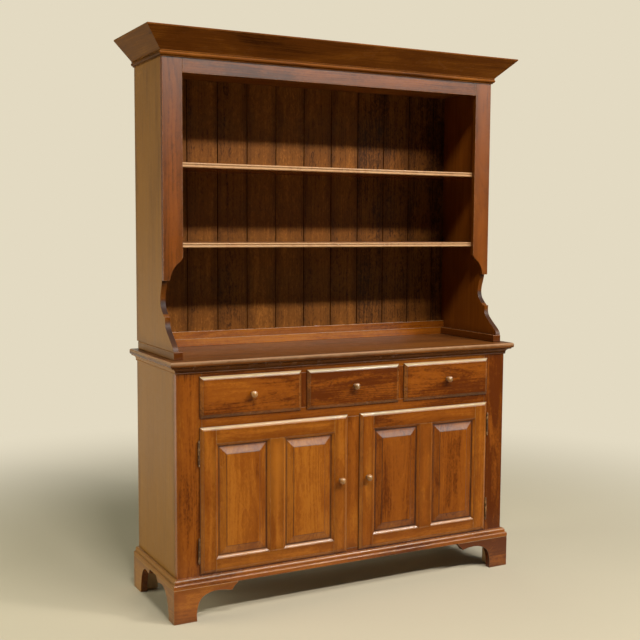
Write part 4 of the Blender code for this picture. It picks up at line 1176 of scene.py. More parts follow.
@dataclass(frozen=True)
class PanelDoor:
    """Lipped frame and panel door: two stiles, two rails, a muntin, two raised panels and a knob.

    The lip stands round the front layer; the back layer stands in by a step on each side.
    """

    side: Side
    seed: int
    tone: float
    panel_tones: tuple[float, float]
    stile: float = 0.0585
    muntin: float = 0.056
    top_rail: float = 0.0610
    bottom_rail: float = 0.0498
    sticking: float = 0.0100
    sticking_depth: float = 0.0080
    sticking_back: float = 0.0090
    backing: float = 0.0158
    lip_back: float = 0.0094
    hinge_step: float = 0.0123
    lock_step: float = 0.0120
    end_step: float = 0.0110
    field_inset: float = 0.0391
    field_step: float = 0.0010
    hollow: float = 1.2
    tongue: float = 0.0080
    tongue_thickness: float = 0.0060
    step_dirt: float = 0.0009
    tongue_dirt: float = 0.0001
    edge: Edge = Edge()

    @property
    def body(self) -> str:
        """Body of the frame that the door rides on."""
        return "door_" + self.side.word

    def build(self) -> None:
        """Build the frame's five boards, the panels and the knob."""
        box = Place.of(self.body + "_frame")
        self.stiles(box)
        self.rails(box)
        self.middle(box)
        for row, where in enumerate(("outer", "inner")):
            self.panel(where, row)
        Knob(self.body + "_knob", self.body, self.seed + 7).build()

    def framed(self, title: str, shells: list[Shell]) -> None:
        """Make one board of the frame from its shells."""
        Piece(self.body + "_" + title, shells, FRONT, Slot.FRONT, (self.body + "_frame",), self.body,
              tone=self.tone).make()

    def sections(self, member: Member, breadth: float, rows: Array, step: float, ends: tuple[float, float],
                 moulded: bool = True) -> list[Shell]:
        """Front layer with the moulded edge, and the thinner layer behind the lip.

        Args:
            member: Member they belong to.
            breadth: Width of its flat face.
            rows: Place along and floor of each row of the front layer.
            step: How far the back layer stands in from the outer edge.
            ends: Low and high end of the back layer.
            moulded: True where the outer edge has its moulding.

        Returns:
            Both shells.
        """
        start = self.edge.profile()[::-1] if moulded else np.zeros((1, 2))
        front = np.concatenate([[(0.0, self.lip_back)], start, [(breadth, 0.0), (breadth, self.lip_back)]])
        back = np.array([
            (step, self.lip_back), (breadth, self.lip_back), (breadth, self.edge.thickness),
            (step, self.edge.thickness),
        ])
        rim = self.edge.width if moulded else 0.0
        return [
            member.carry(front, rows, 0.0004, rim),
            member.carry(back, np.array([(end, 0.0) for end in ends]), 0.0006),
        ]

    def strips(self, member: Member, breadth: float, low: float, high: float) -> list[Shell]:
        """Moulded strip before the panel and plain strip behind it, along the member's inner edge.

        Args:
            member: Member they belong to.
            breadth: Width of its flat face.
            low: Low corner of the panel's opening.
            high: High corner of the panel's opening.

        Returns:
            Both shells.
        """
        curve = thumb(self.sticking, self.sticking_depth, self.edge.fillet)
        curve[:, 0] = self.sticking - curve[:, 0]
        moulding = np.concatenate([curve, [(self.sticking, self.sticking_back), (0.0, self.sticking_back)]])
        backing = np.array([
            (0.0, self.backing), (self.sticking, self.backing), (self.sticking, self.edge.thickness),
            (0.0, self.edge.thickness),
        ])
        made = [member.strip(moulding, low, high), member.strip(backing, low, high)]
        for shell in made:
            shell.points += breadth * member.across
        return made

    def stiles(self, box: Place) -> None:
        """Hinge stile and lock stile, with the moulding running round their ends.

        Args:
            box: Place of the frame.
        """
        height = box.size[2]
        floors = self.edge.profile()[::-1]
        rows = np.concatenate([floors, np.stack([height - floors[::-1, 0], floors[::-1, 1]], axis=1)])
        ends = (self.end_step, height - self.end_step)
        for number, (title, sign, step) in enumerate((("hinge", self.side.value, self.hinge_step),
                                                      ("lock", -self.side.value, self.lock_step))):
            origin = np.array([box.high[0] if sign > 0 else box.low[0], box.low[1], box.low[2]])
            member = Member(origin, -sign * RIGHTWARD, UP, Run.Z, self.seed + 1 + number)
            self.framed(title + "_stile", [
                *self.sections(member, self.stile, rows, step, ends),
                *self.strips(member, self.stile, self.bottom_rail, height - self.top_rail),
            ])

    def rails(self, box: Place) -> None:
        """Top and bottom rail between the stiles.

        Args:
            box: Place of the frame.
        """
        width = box.size[0]
        opening = (width - 2 * self.stile - self.muntin) / 2
        ends = (self.stile, width - self.stile)
        rows = np.array([(end, 0.0) for end in ends])
        for number, (title, breadth, sign) in enumerate((("top", self.top_rail, 1),
                                                         ("bottom", self.bottom_rail, -1))):
            origin = np.array([box.low[0], box.low[1], box.high[2] if sign > 0 else box.low[2]])
            member = Member(origin, -sign * UP, RIGHTWARD, Run.X, self.seed + 3 + number)
            self.framed(title + "_rail", [
                *self.sections(member, breadth, rows, self.end_step, ends),
                *self.strips(member, breadth, ends[0], ends[0] + opening),
                *self.strips(member, breadth, ends[1] - opening, ends[1]),
            ])

    def middle(self, box: Place) -> None:
        """Muntin between the two panels, moulded on both sides.

        Args:
            box: Place of the frame.
        """
        ends = (self.bottom_rail, box.size[2] - self.top_rail)
        rows = np.array([(end, 0.0) for end in ends])
        half = self.muntin / 2
        foot = np.array([box.middle[0], box.low[1], box.low[2]])
        left, right = (Member(foot, sign * RIGHTWARD, UP, Run.Z, self.seed + 5) for sign in (-1, 1))
        full = Member(foot - half * RIGHTWARD, RIGHTWARD, UP, Run.Z, self.seed + 5)
        self.framed("muntin", [
            *self.strips(left, half, *ends),
            *self.sections(full, self.muntin, rows, 0.0, ends, moulded=False),
            *self.strips(right, half, *ends),
        ])

    def panel(self, where: str, row: int) -> None:
        """Raised panel: flat field, square step, hollow margin and tongue.

        Going out from the field, the depth of the margin is its fall times one minus the rest of
        the way to the power of the hollow, which makes it steeper near the field.

        Args:
            where: Which of the two panels.
            row: Its number.
        """
        node = self.body + "_panel_" + where
        box = Place.of(node)
        low, high = box.low, box.high
        step = low[1] + self.field_step
        front = high[1] - self.tongue_thickness
        share = np.linspace(0, 1, 9)
        inset = self.field_inset + (self.tongue - self.field_inset) * share
        margin = np.stack([inset, step + (front - step) * (1 - (1 - share) ** self.hollow)], axis=1)
        profile = np.concatenate([[(self.field_inset, low[1])], margin, [(0.0, front), (0.0, high[1])]])
        shell = stacked(profile, (low[0], low[2]), (high[0], high[2]), self.seed + 11 + row, Run.Z, soft=0.0005)
        dirt = np.interp(
            shell.points[:, 0, 1],
            [step - self.step_dirt, step, margin[1, 1], margin[6, 1], front - self.tongue_dirt, high[1]],
            [0.0, 0.9, 0.12, 0.15, 1.0, 0.0],
        )
        shell.grime = np.repeat(dirt[:, None], 4, axis=1)
        Piece(node + "_raised", [shell], FRONT, Slot.FRONT, (node,), self.body, crease=9.0,
              tone=self.panel_tones[row]).make()


@dataclass(frozen=True)
class Drawer:
    """Drawer with a lipped front, a box and a knob."""

    word: str
    seed: int
    tone: float
    lip_back: float = 0.0109
    wall: float = 0.012
    floor_rise: float = 0.010
    floor: float = 0.006
    back_inset: float = 0.006
    back_drop: float = 0.006
    gap: float = 0.0015
    edge: Edge = Edge()

    @property
    def body(self) -> str:
        """Body of the frame that the drawer rides on."""
        return "drawer_" + self.word

    def build(self) -> None:
        """Build the front, the box boards and the knob."""
        node = self.body + "_front"
        box = Place.of(node)
        face = box.low[1]
        inset = self.edge.lip + self.gap
        profile = np.concatenate([
            self.edge.profile(), [(0.0, self.lip_back), (inset, self.lip_back), (inset, self.edge.thickness)],
        ]) + np.array([0.0, face])
        shell = stacked(
            profile, (box.low[0], box.low[2]), (box.high[0], box.high[2]), self.seed, Run.X, soft=0.0005,
        )
        shell.tone = self.tone
        moulded = shell.points[..., 1] > face + self.edge.fillet / 2
        shell.wear = np.maximum(shell.wear, HANDLED * moulded)
        Piece(node + "_board", [shell], FRONT, Slot.FRONT, (node,), self.body, crease=22.0).make()
        self.box_boards()
        Knob(self.body + "_knob", self.body, self.seed + 3).build()

    def box_boards(self) -> None:
        """Sides, bottom and back of the box, each a board of its own."""
        node = self.body + "_box"
        box = Place.of(node)
        low, high = box.low, box.high
        shells = []
        for number, (start, end) in enumerate(((low[0], low[0] + self.wall), (high[0] - self.wall, high[0]))):
            shells.append(board(
                np.array([start, low[1], low[2]]), np.array([end, high[1], high[2]]), Run.Y,
                seed=self.seed + 5 + number,
            ))
        start, end = low[0] + self.wall, high[0] - self.wall
        back = high[1] - self.back_inset
        level = low[2] + self.floor_rise
        top = level + self.floor
        shells.append(board(
            np.array([start, low[1], level]), np.array([end, back, top]), Run.X, SAWN, self.seed + 8,
        ))
        shells.append(board(
            np.array([start, back - self.wall, top]), np.array([end, back, high[2] - self.back_drop]), Run.X,
            seed=self.seed + 9,
        ))
        Piece(node + "_boards", shells, PLAIN, Slot.INNER, (node,), self.body).make()


@dataclass(frozen=True)
class Case:
    """Cupboard case: side panels, face frame and plain boards inside."""

    arris: float = 0.0007
    frame_arris: float = 0.0008
    frame_arris_shade: float = 0.7
    frame_rub: float = 0.2
    rebate_width: float = 0.010
    rebate_depth: float = 0.007
    deck: float = 0.012
    guide_width: float = 0.025

    def build(self) -> None:
        """Build the panels and the frame, and dress the plain boards inside."""
        for number, side in enumerate(Side):
            self.panel(side, 20 + number)
        frame = (
            ("frame_stile_left", Run.Z, -0.1), ("frame_stile_right", Run.Z, -0.7),
            ("frame_top_rail", Run.X, -0.4), ("frame_middle_rail", Run.X, -0.2),
            ("frame_bottom_rail", Run.X, -0.2), ("frame_centre_stile", Run.Z, -0.8),
            ("drawer_muntin_left", Run.Z, -0.9), ("drawer_muntin_right", Run.Z, -0.9),
        )
        for number, (node, run, tone) in enumerate(frame):
            shell = Place.of(node).board(run, 31 + number, self.frame_arris)
            shell.tone = tone
            # Grime on the frame's arrises paints the shade where the face frame lies between the lipped doors
            # and drawers.
            shell.grime = self.frame_arris_shade * shell.wear
            shell.wear *= self.frame_rub
            Piece(node + "_board", [shell], FRONT, Slot.FRONT, (node,)).make()
        for number, node in enumerate(("base_bottom", "base_shelf", "base_back")):
            shell = Place.of(node).board(Run.X, 40 + number, SAWN)
            Piece(node + "_board", [shell], PLAIN, Slot.INNER, (node,)).make()
        self.drawer_deck(45)

    def drawer_deck(self, seed: int) -> None:
        """Deck below the drawers, with a guide beside each drawer box.

        Args:
            seed: Number of its first board.
        """
        box = Place.of("drawer_deck")
        left, middle, right = (Place.of("drawer_" + word + "_box") for word in ("left", "middle", "right"))
        edge = box.high[0]
        gap = edge - self.guide_width - right.high[0]
        spans = (
            (-edge, left.low[0] - gap), (left.high[0] + gap, middle.low[0] - gap),
            (middle.high[0] + gap, right.low[0] - gap), (right.high[0] + gap, edge),
        )
        top = box.low[2] + self.deck
        shells = [board(box.low, np.array([edge, box.high[1], top]), Run.X, SAWN, seed)]
        for number, (low, high) in enumerate(spans):
            shells.append(board(
                np.array([low, box.low[1], top]), np.array([high, box.high[1], box.high[2]]), Run.Y,
                seed=seed + 1 + number,
            ))
        Piece("drawer_deck_boards", shells, PLAIN, Slot.INNER, ("drawer_deck",)).make()

    def panel(self, side: Side, seed: int) -> None:
        """Side panel with its rebate for the back.

        Args:
            side: Which side.
            seed: Number of its board.
        """
        node = "base_side_" + side.word
        box = Place.of(node)
        outer = box.outer(side)
        inner = outer - side.value * box.size[0]
        shoulder = inner + side.value * self.rebate_width
        floor = box.high[1] - self.rebate_depth
        outline = np.array([
            (inner, box.low[1]), (outer, box.low[1]), (outer, box.high[1]), (shoulder, box.high[1]),
            (shoulder, floor), (inner, floor),
        ])
        shell = carried(outline, Run.Z, box.low[2], box.high[2], self.arris).cut_from(Run.Z, seed)
        Piece(node + "_board", [shell.reflection_tint(outer)], SIDE, Slot.SIDE, (node,)).make()


@dataclass(frozen=True)
class Moulding:
    """Moulding round the front and both sides, mitred at the front corners."""

    node: str
    profile: Array
    seed: int
    soft: float = 0.0006
    finish: Wood = FRONT
    leg_finish: Wood = SIDE
    fade: float = 0.9
    rub: float = 1.0

    def build(self) -> None:
        """Carry the profile along the left, the front and the right leg."""
        box = Place.of(self.node)
        reach = float(self.profile[:, 0].max())
        half = box.high[0] - reach
        front = box.low[1] + reach
        back = box.high[1]
        base = box.low[2]
        up = Vector(UP)
        for side in Side:
            sign = side.value
            ends = (
                (Vector((sign * half, back, base)), Vector((sign, 0, 0))),
                (Vector((sign * half, front, base)), Vector((sign, -1, 0))),
            )
            leg = between(self.profile, self.soft, ends, up, Run.Y, self.seed + sign)
            leg.fade = self.fade
            leg.wear *= self.rub
            Piece(self.node + "_" + side.word, [leg], self.leg_finish, Slot.FRONT, (self.node,)).make()
        ends = (
            (Vector((-half, front, base)), Vector((-1, -1, 0))),
            (Vector((half, front, base)), Vector((1, -1, 0))),
        )
        leg = between(self.profile, self.soft, ends, up, Run.X, self.seed)
        leg.wear *= self.rub
        Piece(self.node + "_front", [leg], self.finish, Slot.FRONT, (self.node,)).make()


@dataclass(frozen=True)
class Counter:
    """Counter board with its rounded nosing, the cove under it and the base moulding."""

    nosing: float = 0.006
    # Wear by height on the nosing: its pale band near the top also paints the highlight along the upper
    # rounding.
    nosing_wear_and_highlight: Shares = ((0.0, 0.0), (0.3, 0.0), (0.70, 1.2), (0.88, 4.0), (1.0, 0.1))

    def build(self) -> None:
        """Build the counter board and both mouldings."""
        box = Place.of("base_top")
        low, high = box.low, box.high
        thick = box.size[2]
        radius = self.nosing
        lower = arc((0, radius), radius, -90, 0, 6)
        upper = arc((0, thick - radius), radius, 0, 90, 6)
        curve = np.concatenate([lower, upper])
        profile = np.stack([radius - curve[:, 0], low[2] + curve[:, 1]], axis=1)
        shell = stacked(profile, (low[0], low[1]), (high[0], high[1]), 41, Run.X, lift=2, soft=0.0004)
        square = shell.points[..., 1] > box.middle[1]
        shell.points[..., 1] = np.where(square, high[1], shell.points[..., 1])
        levels = np.interp((shell.points[:, 0, 2] - low[2]) / thick, *zip(*self.nosing_wear_and_highlight))
        shell.wear = np.repeat(levels[:, None], 4, axis=1)
        Piece("counter_board", [shell], COUNTER, Slot.COUNTER, ("base_top",)).make()
        Moulding("top_cove", self.cove(), 44, finish=COUNTER, rub=0.2).build()
        Moulding("base_moulding", self.skirting(), 48).build()

    def cove(self) -> Array:
        """Cove with a small bead at its foot.

        Returns:
            Closed profile, as the way out and the way up.
        """
        bead, seat, hollow, cap, height = 0.0030, 0.0020, 0.0155, 0.0015, 0.0254
        start = seat + bead
        base = 2 * bead
        return np.concatenate([
            [(FIT, 0.0)], arc((seat, bead), bead, -90, 60, 8),
            arc((start + hollow, base), hollow, 180, 90, 12),
            [(start + hollow + cap, base + hollow), (start + hollow + cap, height), (FIT, height)],
        ])

    def skirting(self) -> Array:
        """Base moulding with two rounded steps.

        Returns:
            Closed profile, as the way out and the way up.
        """
        reach, band, nose, step, cap, height = 0.0205, 0.0170, 0.0050, 0.0065, 0.0090, 0.0330
        return np.concatenate([
            [(FIT, 0.0), (reach, 0.0)], arc((reach - nose, band - nose), nose, 0, 90, 8),
            [(reach - step, band)], arc((reach - step - cap, height - cap), cap, 0, 90, 8),
            [(FIT, height)],
        ])


@dataclass(frozen=True)
class Feet:
    """Four bracket feet, each of two mitred boards with a glue block behind."""

    thickness: float = 0.026
    front_toe: float = 0.0865
    front_wing: float = 0.2440
    side_toe: float = 0.0550
    side_wing: float = 0.1880
    back_toe: float = 0.0810
    back_wing: float = 0.1870
    rear_toe: float = 0.0700
    rear_wing: float = 0.1300
    block: float = 0.045
    block_lift: float = 0.004
    arris: float = 0.0012
    tones: tuple[tuple[str, float], ...] = (("foot_front_left", 0.2), ("foot_front_right", -1.8))

    @staticmethod
    def bracket(toe: float, wing: float, height: float, curve: Shares, tip: Shares) -> Array:
        """Bracket seen from its face: foot, scrolled hollow and the tip of its wing.

        Args:
            toe: Width of the foot on the floor.
            wing: Reach of the wing.
            height: Height of the bracket.
            curve: Shares of the hollow's points along the wing and up the height.
            tip: Shares of the points between the hollow and the top.

        Returns:
            Closed outline, as the way out from the corner and the way up.
        """
        scale = np.array([wing - toe, height])
        start = np.array([toe, 0.0])
        hollow = smooth_run(start + np.array(curve) * scale, 8)
        return np.concatenate([[(0.0, 0.0)], hollow, start + np.array(tip) * scale, [(0.0, height)]])

    def build(self) -> None:
        """Build all four feet."""
        front_curve = (
            (0.00, 0.00), (-0.01, 0.18), (0.01, 0.38), (0.05, 0.55), (0.13, 0.69), (0.29, 0.79),
            (0.46, 0.825), (0.66, 0.81), (0.84, 0.76),
        )
        front_tip = ((0.91, 0.88), (0.98, 0.95), (1.00, 1.00))
        side_curve = (
            (0.00, 0.00), (0.00, 0.15), (0.06, 0.39), (0.18, 0.67), (0.38, 0.84), (0.62, 0.875),
            (0.88, 0.83),
        )
        side_tip = ((0.96, 0.90), (1.00, 1.00))
        rear_curve = ((0.00, 0.00), (0.02, 0.35), (0.25, 0.72), (1.00, 0.86))
        rear_tip = ((1.00, 1.00),)
        seed = 60
        for row in ("front", "back"):
            for side in Side:
                node = "foot_" + row + "_" + side.word
                box = Place.of(node)
                height = box.high[2]
                if row == "front":
                    along_x = self.bracket(self.front_toe, self.front_wing, height, front_curve, front_tip)
                    along_y = self.bracket(self.side_toe, self.side_wing, height, side_curve, side_tip)
                else:
                    along_x = self.bracket(self.rear_toe, self.rear_wing, height, rear_curve, rear_tip)
                    along_y = self.bracket(self.back_toe, self.back_wing, height, side_curve, side_tip)
                corner = np.array([box.outer(side), box.low[1] if row == "front" else box.high[1], 0.0])
                inward = np.array([-side.value, 1 if row == "front" else -1])
                self.foot(node, corner, inward, along_x, along_y, height, seed)
                seed += 4

    def foot(self, node: str, corner: Array, inward: Array, along_x: Array, along_y: Array,
             height: float, seed: int) -> None:
        """Two bracket boards and the glue block of one foot.

        Args:
            node: Node of the foot.
            corner: Outer corner of the foot on the floor.
            inward: Signs of the way in along X and Y.
            along_x: Bracket along the front or the back, seen from its face.
            along_y: Bracket along the side, seen from its face.
            height: Height of the foot.
            seed: Number of its first board.
        """
        tone = dict(self.tones).get(node)
        for title, outline, axis, number in (("face", along_x, 0, 0), ("cheek", along_y, 1, 1)):
            shell = self.bracket_board(outline, corner, inward, axis)
            run = Run.X if axis == 0 else Run.Y
            shell.cut_from(run, seed + number, tone=tone)
            if axis == 1:
                shell.reflection_tint(corner[0])
            Piece(node + "_" + title, [shell], FRONT, Slot.FRONT, (node,)).make()
        near = corner[:2] + inward * self.thickness
        far = near + inward * self.block
        low = np.array([min(near[0], far[0]), min(near[1], far[1]), self.block_lift])
        high = np.array([max(near[0], far[0]), max(near[1], far[1]), height])
        block = board(low, high, Run.Z, 0.002, seed + 2)
        Piece(node + "_glue_block", [block], PLAIN, Slot.INNER, (node,)).make()

    def bracket_board(self, outline: Array, corner: Array, inward: Array, axis: int) -> Shell:
        """Carry a bracket's outline through its thickness, mitred at the corner.

        Through the thickness a point moves in from the face, and no point stands nearer to the
        corner than it stands in from the face, which makes the mitre. Near both faces the outline
        shrinks along its normals as in a rounded board.

        Args:
            outline: Bracket seen from its face.
            corner: Outer corner of the foot on the floor.
            inward: Signs of the way in along X and Y.
            axis: Axis that the wing runs along.

        Returns:
            The closed shell.
        """
        outline = ring(outline)
        reach, insets, rim = rounding(self.arris)
        half = len(reach) // 2
        depth = np.concatenate([reach[:half], self.thickness - reach[half:]])
        flat = np.stack([softened(outline, self.arris, inset=inset)[0] for inset in insets])
        bend = softened(outline, self.arris)[1]
        points = np.empty((*flat.shape[:2], 3))
        out = np.maximum(flat[..., 0], depth[:, None])
        points[..., axis] = corner[axis] + inward[axis] * out
        points[..., 1 - axis] = corner[1 - axis] + inward[1 - axis] * depth[:, None]
        points[..., 2] = flat[..., 1]
        wear = ARRIS_WEAR_AND_HIGHLIGHT * np.maximum(np.clip(bend, 0, 1)[None], rim[:, None])
        wear[[0, -1]] = 0.0
        return Shell(points, wear, np.zeros_like(wear))


@dataclass(frozen=True)
class Hutch:
    """Hutch on the counter: scrolled sides, shoes, stiles, rail, shelves, top board and boarded back.

    The scroll's sawn edge is painted darker in bands by its height, from the shoe at 0 to the stile's foot at 1:
    painted dark reflections between the curves that catch the light.
    """

    stile_width: float = 0.0735
    stile_foot: float = 0.0240
    stile_sweep: float = 0.0805
    scroll_reach: float = 0.0940
    scroll_painted_shade: Shares = (
        (0.0, -1.5), (0.05, -1.5), (0.2, -2.7), (0.32, -2.7), (0.38, -1.2), (0.45, 0.0), (0.5, 0.0),
        (0.52, -2.7), (0.66, -2.7), (0.74, -0.2), (0.93, 0.0), (1.0, -2.0),
    )
    scroll_shade_depth: float = 0.45
    scroll_rim: float = 0.0004
    scroll_over: float = 0.001
    scroll_behind: float = 0.02
    arris: float = 0.0009
    rub: float = 0.4
    shoe_end: float = 0.006
    shoe_end_tone: float = -1.8
    stile_rub: float = 0.2
    shelf_edge_wear_and_highlight: float = 1.4
    shelf_rub: float = 0.3
    rail_setback: float = 0.0015
    pitch: float = 0.125
    joint_skin: float = 0.0004
    joint_back: float = 0.002
    joint_dirt: float = 1.2
    board_tones: float = 0.4
    board_painted_shade: float = 1.2
    vee: float = 0.0026
    vee_depth: float = 0.0042
    bead_gap: float = 0.0012

    def build(self) -> None:
        """Build every board of the hutch."""
        for number, side in enumerate(Side):
            self.side(side, 80 + number)
            self.shoe(side, 83 + number)
            self.stile(side, 86 + number)
        rail = Place.of("hutch_top_rail").board(Run.X, 89, 0.0012)
        rail.tone = -0.7
        Piece("hutch_top_rail_board", [rail], UPPER, Slot.FRONT, ("hutch_top_rail",)).make()
        top = Place.of("hutch_top_board").board(Run.X, 90)
        Piece("hutch_top_board_panel", [top], BOARDING, Slot.BACK, ("hutch_top_board",)).make()
        for number, level in enumerate(("lower", "upper")):
            self.shelf(level, 92 + number)
        self.boarding()
        self.foot_rail()

    def side(self, side: Side, seed: int) -> None:
        """Side panel with the scroll of its front edge below the stile.

        Args:
            side: Which side.
            seed: Number of its board.
        """
        node = "hutch_side_" + side.word
        box = Place.of(node)
        stile = Place.of("hutch_stile_" + side.word)
        foot = stile.low[2]
        scale = np.array([-self.scroll_reach, foot - box.low[2]])
        start = np.array([stile.low[1], box.low[2]])
        upper = smooth_run(start + scale * np.array([
            (-0.20, 1.000), (-0.26, 0.915), (-0.34, 0.825), (-0.39, 0.745), (-0.39, 0.680),
            (-0.33, 0.605), (-0.15, 0.530), (0.02, 0.475),
        ]), 7)
        lower = smooth_run(start + scale * np.array([
            (0.12, 0.475), (0.12, 0.380), (0.20, 0.305), (0.45, 0.215), (0.75, 0.125),
            (0.93, 0.060), (1.00, 0.000),
        ]), 7)
        front = stile.high[1] + FIT
        outline = np.concatenate([
            [(front, box.high[2]), (front, foot)], upper, lower,
            [(box.high[1], box.low[2]), (box.high[1], box.high[2])],
        ])
        shell = carried(outline, Run.X, box.low[0], box.high[0], self.arris, self.arris).cut_from(Run.Z, seed)
        shell.wear *= self.rub
        self.paint_scroll_shade(shell, box, foot)
        Piece(node + "_board", [shell.reflection_tint(box.outer(side))], SIDE, Slot.SIDE, (node,)).make()

    def paint_scroll_shade(self, shell: Shell, box: Place, foot: float) -> None:
        """Paint shade in bands on the sawn edge of the scroll, with darker tone, grime and no wear: painted dark
        reflections between its lit curves.

        Args:
            shell: Side panel.
            box: Place of the side panel.
            foot: Height of the stile's foot.
        """
        across, depth, level = np.moveaxis(shell.points, -1, 0)
        edge = np.minimum(across - box.low[0], box.high[0] - across) > self.scroll_rim
        scroll = edge & (level < foot + self.scroll_over) & (depth < box.high[1] - self.scroll_behind)
        painted_shade = np.interp((level - box.low[2]) / (foot - box.low[2]), *zip(*self.scroll_painted_shade))
        shell.tone = np.where(scroll, painted_shade, shell.shade)
        shell.wear = np.where(scroll, 0.0, shell.wear)
        shell.grime = np.where(scroll, -self.scroll_shade_depth * painted_shade, shell.grime)

    def shoe(self, side: Side, seed: int) -> None:
        """Shoe between the counter and the side, with a dark and rounded front end.

        Args:
            side: Which side.
            seed: Number of its board.
        """
        node = "hutch_shoe_" + side.word
        box = Place.of(node)
        shell = box.board(Run.Y, seed, 0.0032)
        shell.tone = np.where(shell.points[..., 1] < box.low[1] + self.shoe_end, self.shoe_end_tone, shell.shade)
        shell.reflection_tint(box.outer(side), 0.0030)
        Piece(node + "_board", [shell], SIDE, Slot.SIDE, (node,)).make()

    def stile(self, side: Side, seed: int) -> None:
        """Stile with the sweep at its foot.

        Args:
            side: Which side.
            seed: Number of its board.
        """
        node = "hutch_stile_" + side.word
        box = Place.of(node)
        start = np.array([self.stile_width, 0.0])
        scale = np.array([-(self.stile_width - self.stile_foot), self.stile_sweep])
        sweep = smooth_run(start + scale * np.array([
            (0.00, 1.00), (0.19, 0.835), (0.46, 0.70), (0.66, 0.555), (0.83, 0.38), (0.93, 0.19),
            (1.00, 0.00),
        ]), 7)
        tall = box.size[2]
        outline = np.concatenate([[(0.0, 0.0), (0.0, tall), (self.stile_width, tall)], sweep])
        outline = outline * np.array([-side.value, 1.0]) + np.array([box.outer(side), box.low[2]])
        shell = carried(outline, Run.Y, box.low[1], box.high[1], 0.0006).cut_from(Run.Z, seed)
        shell.wear *= self.stile_rub
        Piece(node + "_board", [shell], UPPER, Slot.FRONT, (node,)).make()

    def shelf(self, level: str, seed: int) -> None:
        """Shelf whose front edge is two rubbed beads with a quirk between them; their pale wear also paints the
        highlight along the edge.

        Args:
            level: Which of the two shelves.
            seed: Number of its board.
        """
        node = "hutch_shelf_" + level
        box = Place.of(node)
        thick = box.size[2]
        radius = (thick - self.bead_gap) / 4
        front, low = box.low[1], box.low[2]
        inner = front + 0.6 * radius
        lower = arc((front + radius, low + radius), radius, -90, -185, 8)
        upper = arc((front + radius, low + thick - radius), radius, 185, 90, 8)
        mid = low + thick / 2
        outline = np.concatenate([
            [(box.high[1], low)], lower, [(inner, mid - self.bead_gap / 2), (inner, mid + self.bead_gap / 2)],
            upper, [(box.high[1], low + thick)],
        ])
        shell = carried(outline, Run.X, box.low[0], box.high[0], 0.0004, 0.0003).cut_from(Run.X, seed)
        edge = shell.points[..., 1] < front + 0.7 * radius
        shell.wear = np.where(edge, self.shelf_edge_wear_and_highlight, shell.wear * self.shelf_rub)
        Piece(node + "_board", [shell], UPPER, Slot.FRONT, (node,)).make()

    def boarding(self) -> None:
        """Boards of the back, each with half of a V groove along both edges.

        Each has its own tone, and they darken to the right by the square of the way across, a painted shadow
        over the right of the back.
        """
        box = Place.of("hutch_back")
        half = box.high[0]
        count = int((half - self.vee) / self.pitch)
        joints = np.arange(-count, count + 1) * self.pitch
        lows = np.concatenate([[-half], joints])
        highs = np.concatenate([joints, [half]])
        front, back = box.low[1], box.high[1]
        last = len(lows) - 1
        shells = []
        for number, (low, high) in enumerate(zip(lows, highs)):
            cut_low = self.vee if number > 0 else 0.0
            cut_high = self.vee if number < last else 0.0
            outline = np.array([
                (low + cut_low, front), (high - cut_high, front), (high, front + self.vee_depth),
                (high, back), (low, back), (low, front + self.vee_depth),
            ])
            shell = carried(outline, Run.Z, box.low[2], box.high[2], 0.0005, 0.0004)
            depth = shell.points[..., 1]
            deep = (depth > front + self.joint_skin) & (depth < back - self.joint_back)
            shell.grime = np.where(deep, self.joint_dirt, 0.0)
            shell.wear *= self.rub
            tone = self.board_tones * scatter(number, 0.3) - self.board_painted_shade * (number / last) ** 2
            shells.append(shell.cut_from(Run.Z, 100 + number, tone=tone))
        Piece("hutch_back_boards", shells, BOARDING, Slot.BACK, ("hutch_back",)).make()

    def foot_rail(self) -> None:
        """Strip and rail along the foot of the back, one above the other."""
        box = Place.of("hutch_bottom_rail")
        shoe = Place.of("hutch_shoe_left")
        top = shoe.high[2] + FIT
        inner = -shoe.high[0] - FIT
        strip = board(
            np.array([-inner, box.low[1], box.low[2]]), np.array([inner, box.high[1], top]), Run.X, seed=96,
        )
        rail_low = np.array([box.low[0], box.low[1] + self.rail_setback, top])
        rail = board(rail_low, box.high, Run.X, 0.0016, 97)
        strip.flat = rail.flat = False
        Piece("hutch_foot_strip", [strip], FRONT, Slot.FRONT, ("hutch_bottom_rail",), tone=0.6).make()
        Piece("hutch_foot_rail", [rail], FRONT, Slot.FRONT, ("hutch_bottom_rail",), tone=0.5).make()


@dataclass(frozen=True)
class Crown:
    """Bead and leaning crown board round the top."""

    foot: float = 0.0103

    def build(self) -> None:
        """Build both mouldings."""
        radius, seat, height = 0.0070, 0.0050, 0.0210
        low = radius / 2
        bead = np.concatenate([
            [(FIT, 0.0), (seat, 0.0)], arc((seat, low + radius), radius, -90, 90, 16),
            [(self.foot, low + 2 * radius), (self.foot, height), (FIT, height)],
        ])
        Moulding("crown_bead", bead, 120, finish=CROWN, leg_finish=CROWN, fade=0.8).build()
        projection, tall, thick, edge = 0.0757, 0.0727, 0.0140, 0.0048
        run = projection - self.foot
        rise = tall - edge
        slope = math.hypot(run, rise)
        back_x = self.foot - thick * rise / slope
        back_z = thick * run / slope
        top_x = back_x + (tall - back_z) * run / rise
        seat_z = back_z + (FIT - back_x) * rise / run
        crown = np.array([
            (FIT, 0.0), (self.foot, 0.0), (projection, rise), (projection, tall), (top_x, tall),
            (FIT, seat_z),
        ])
        Moulding("crown", crown, 124, 0.0009, CROWN, CROWN, 0.8).build()


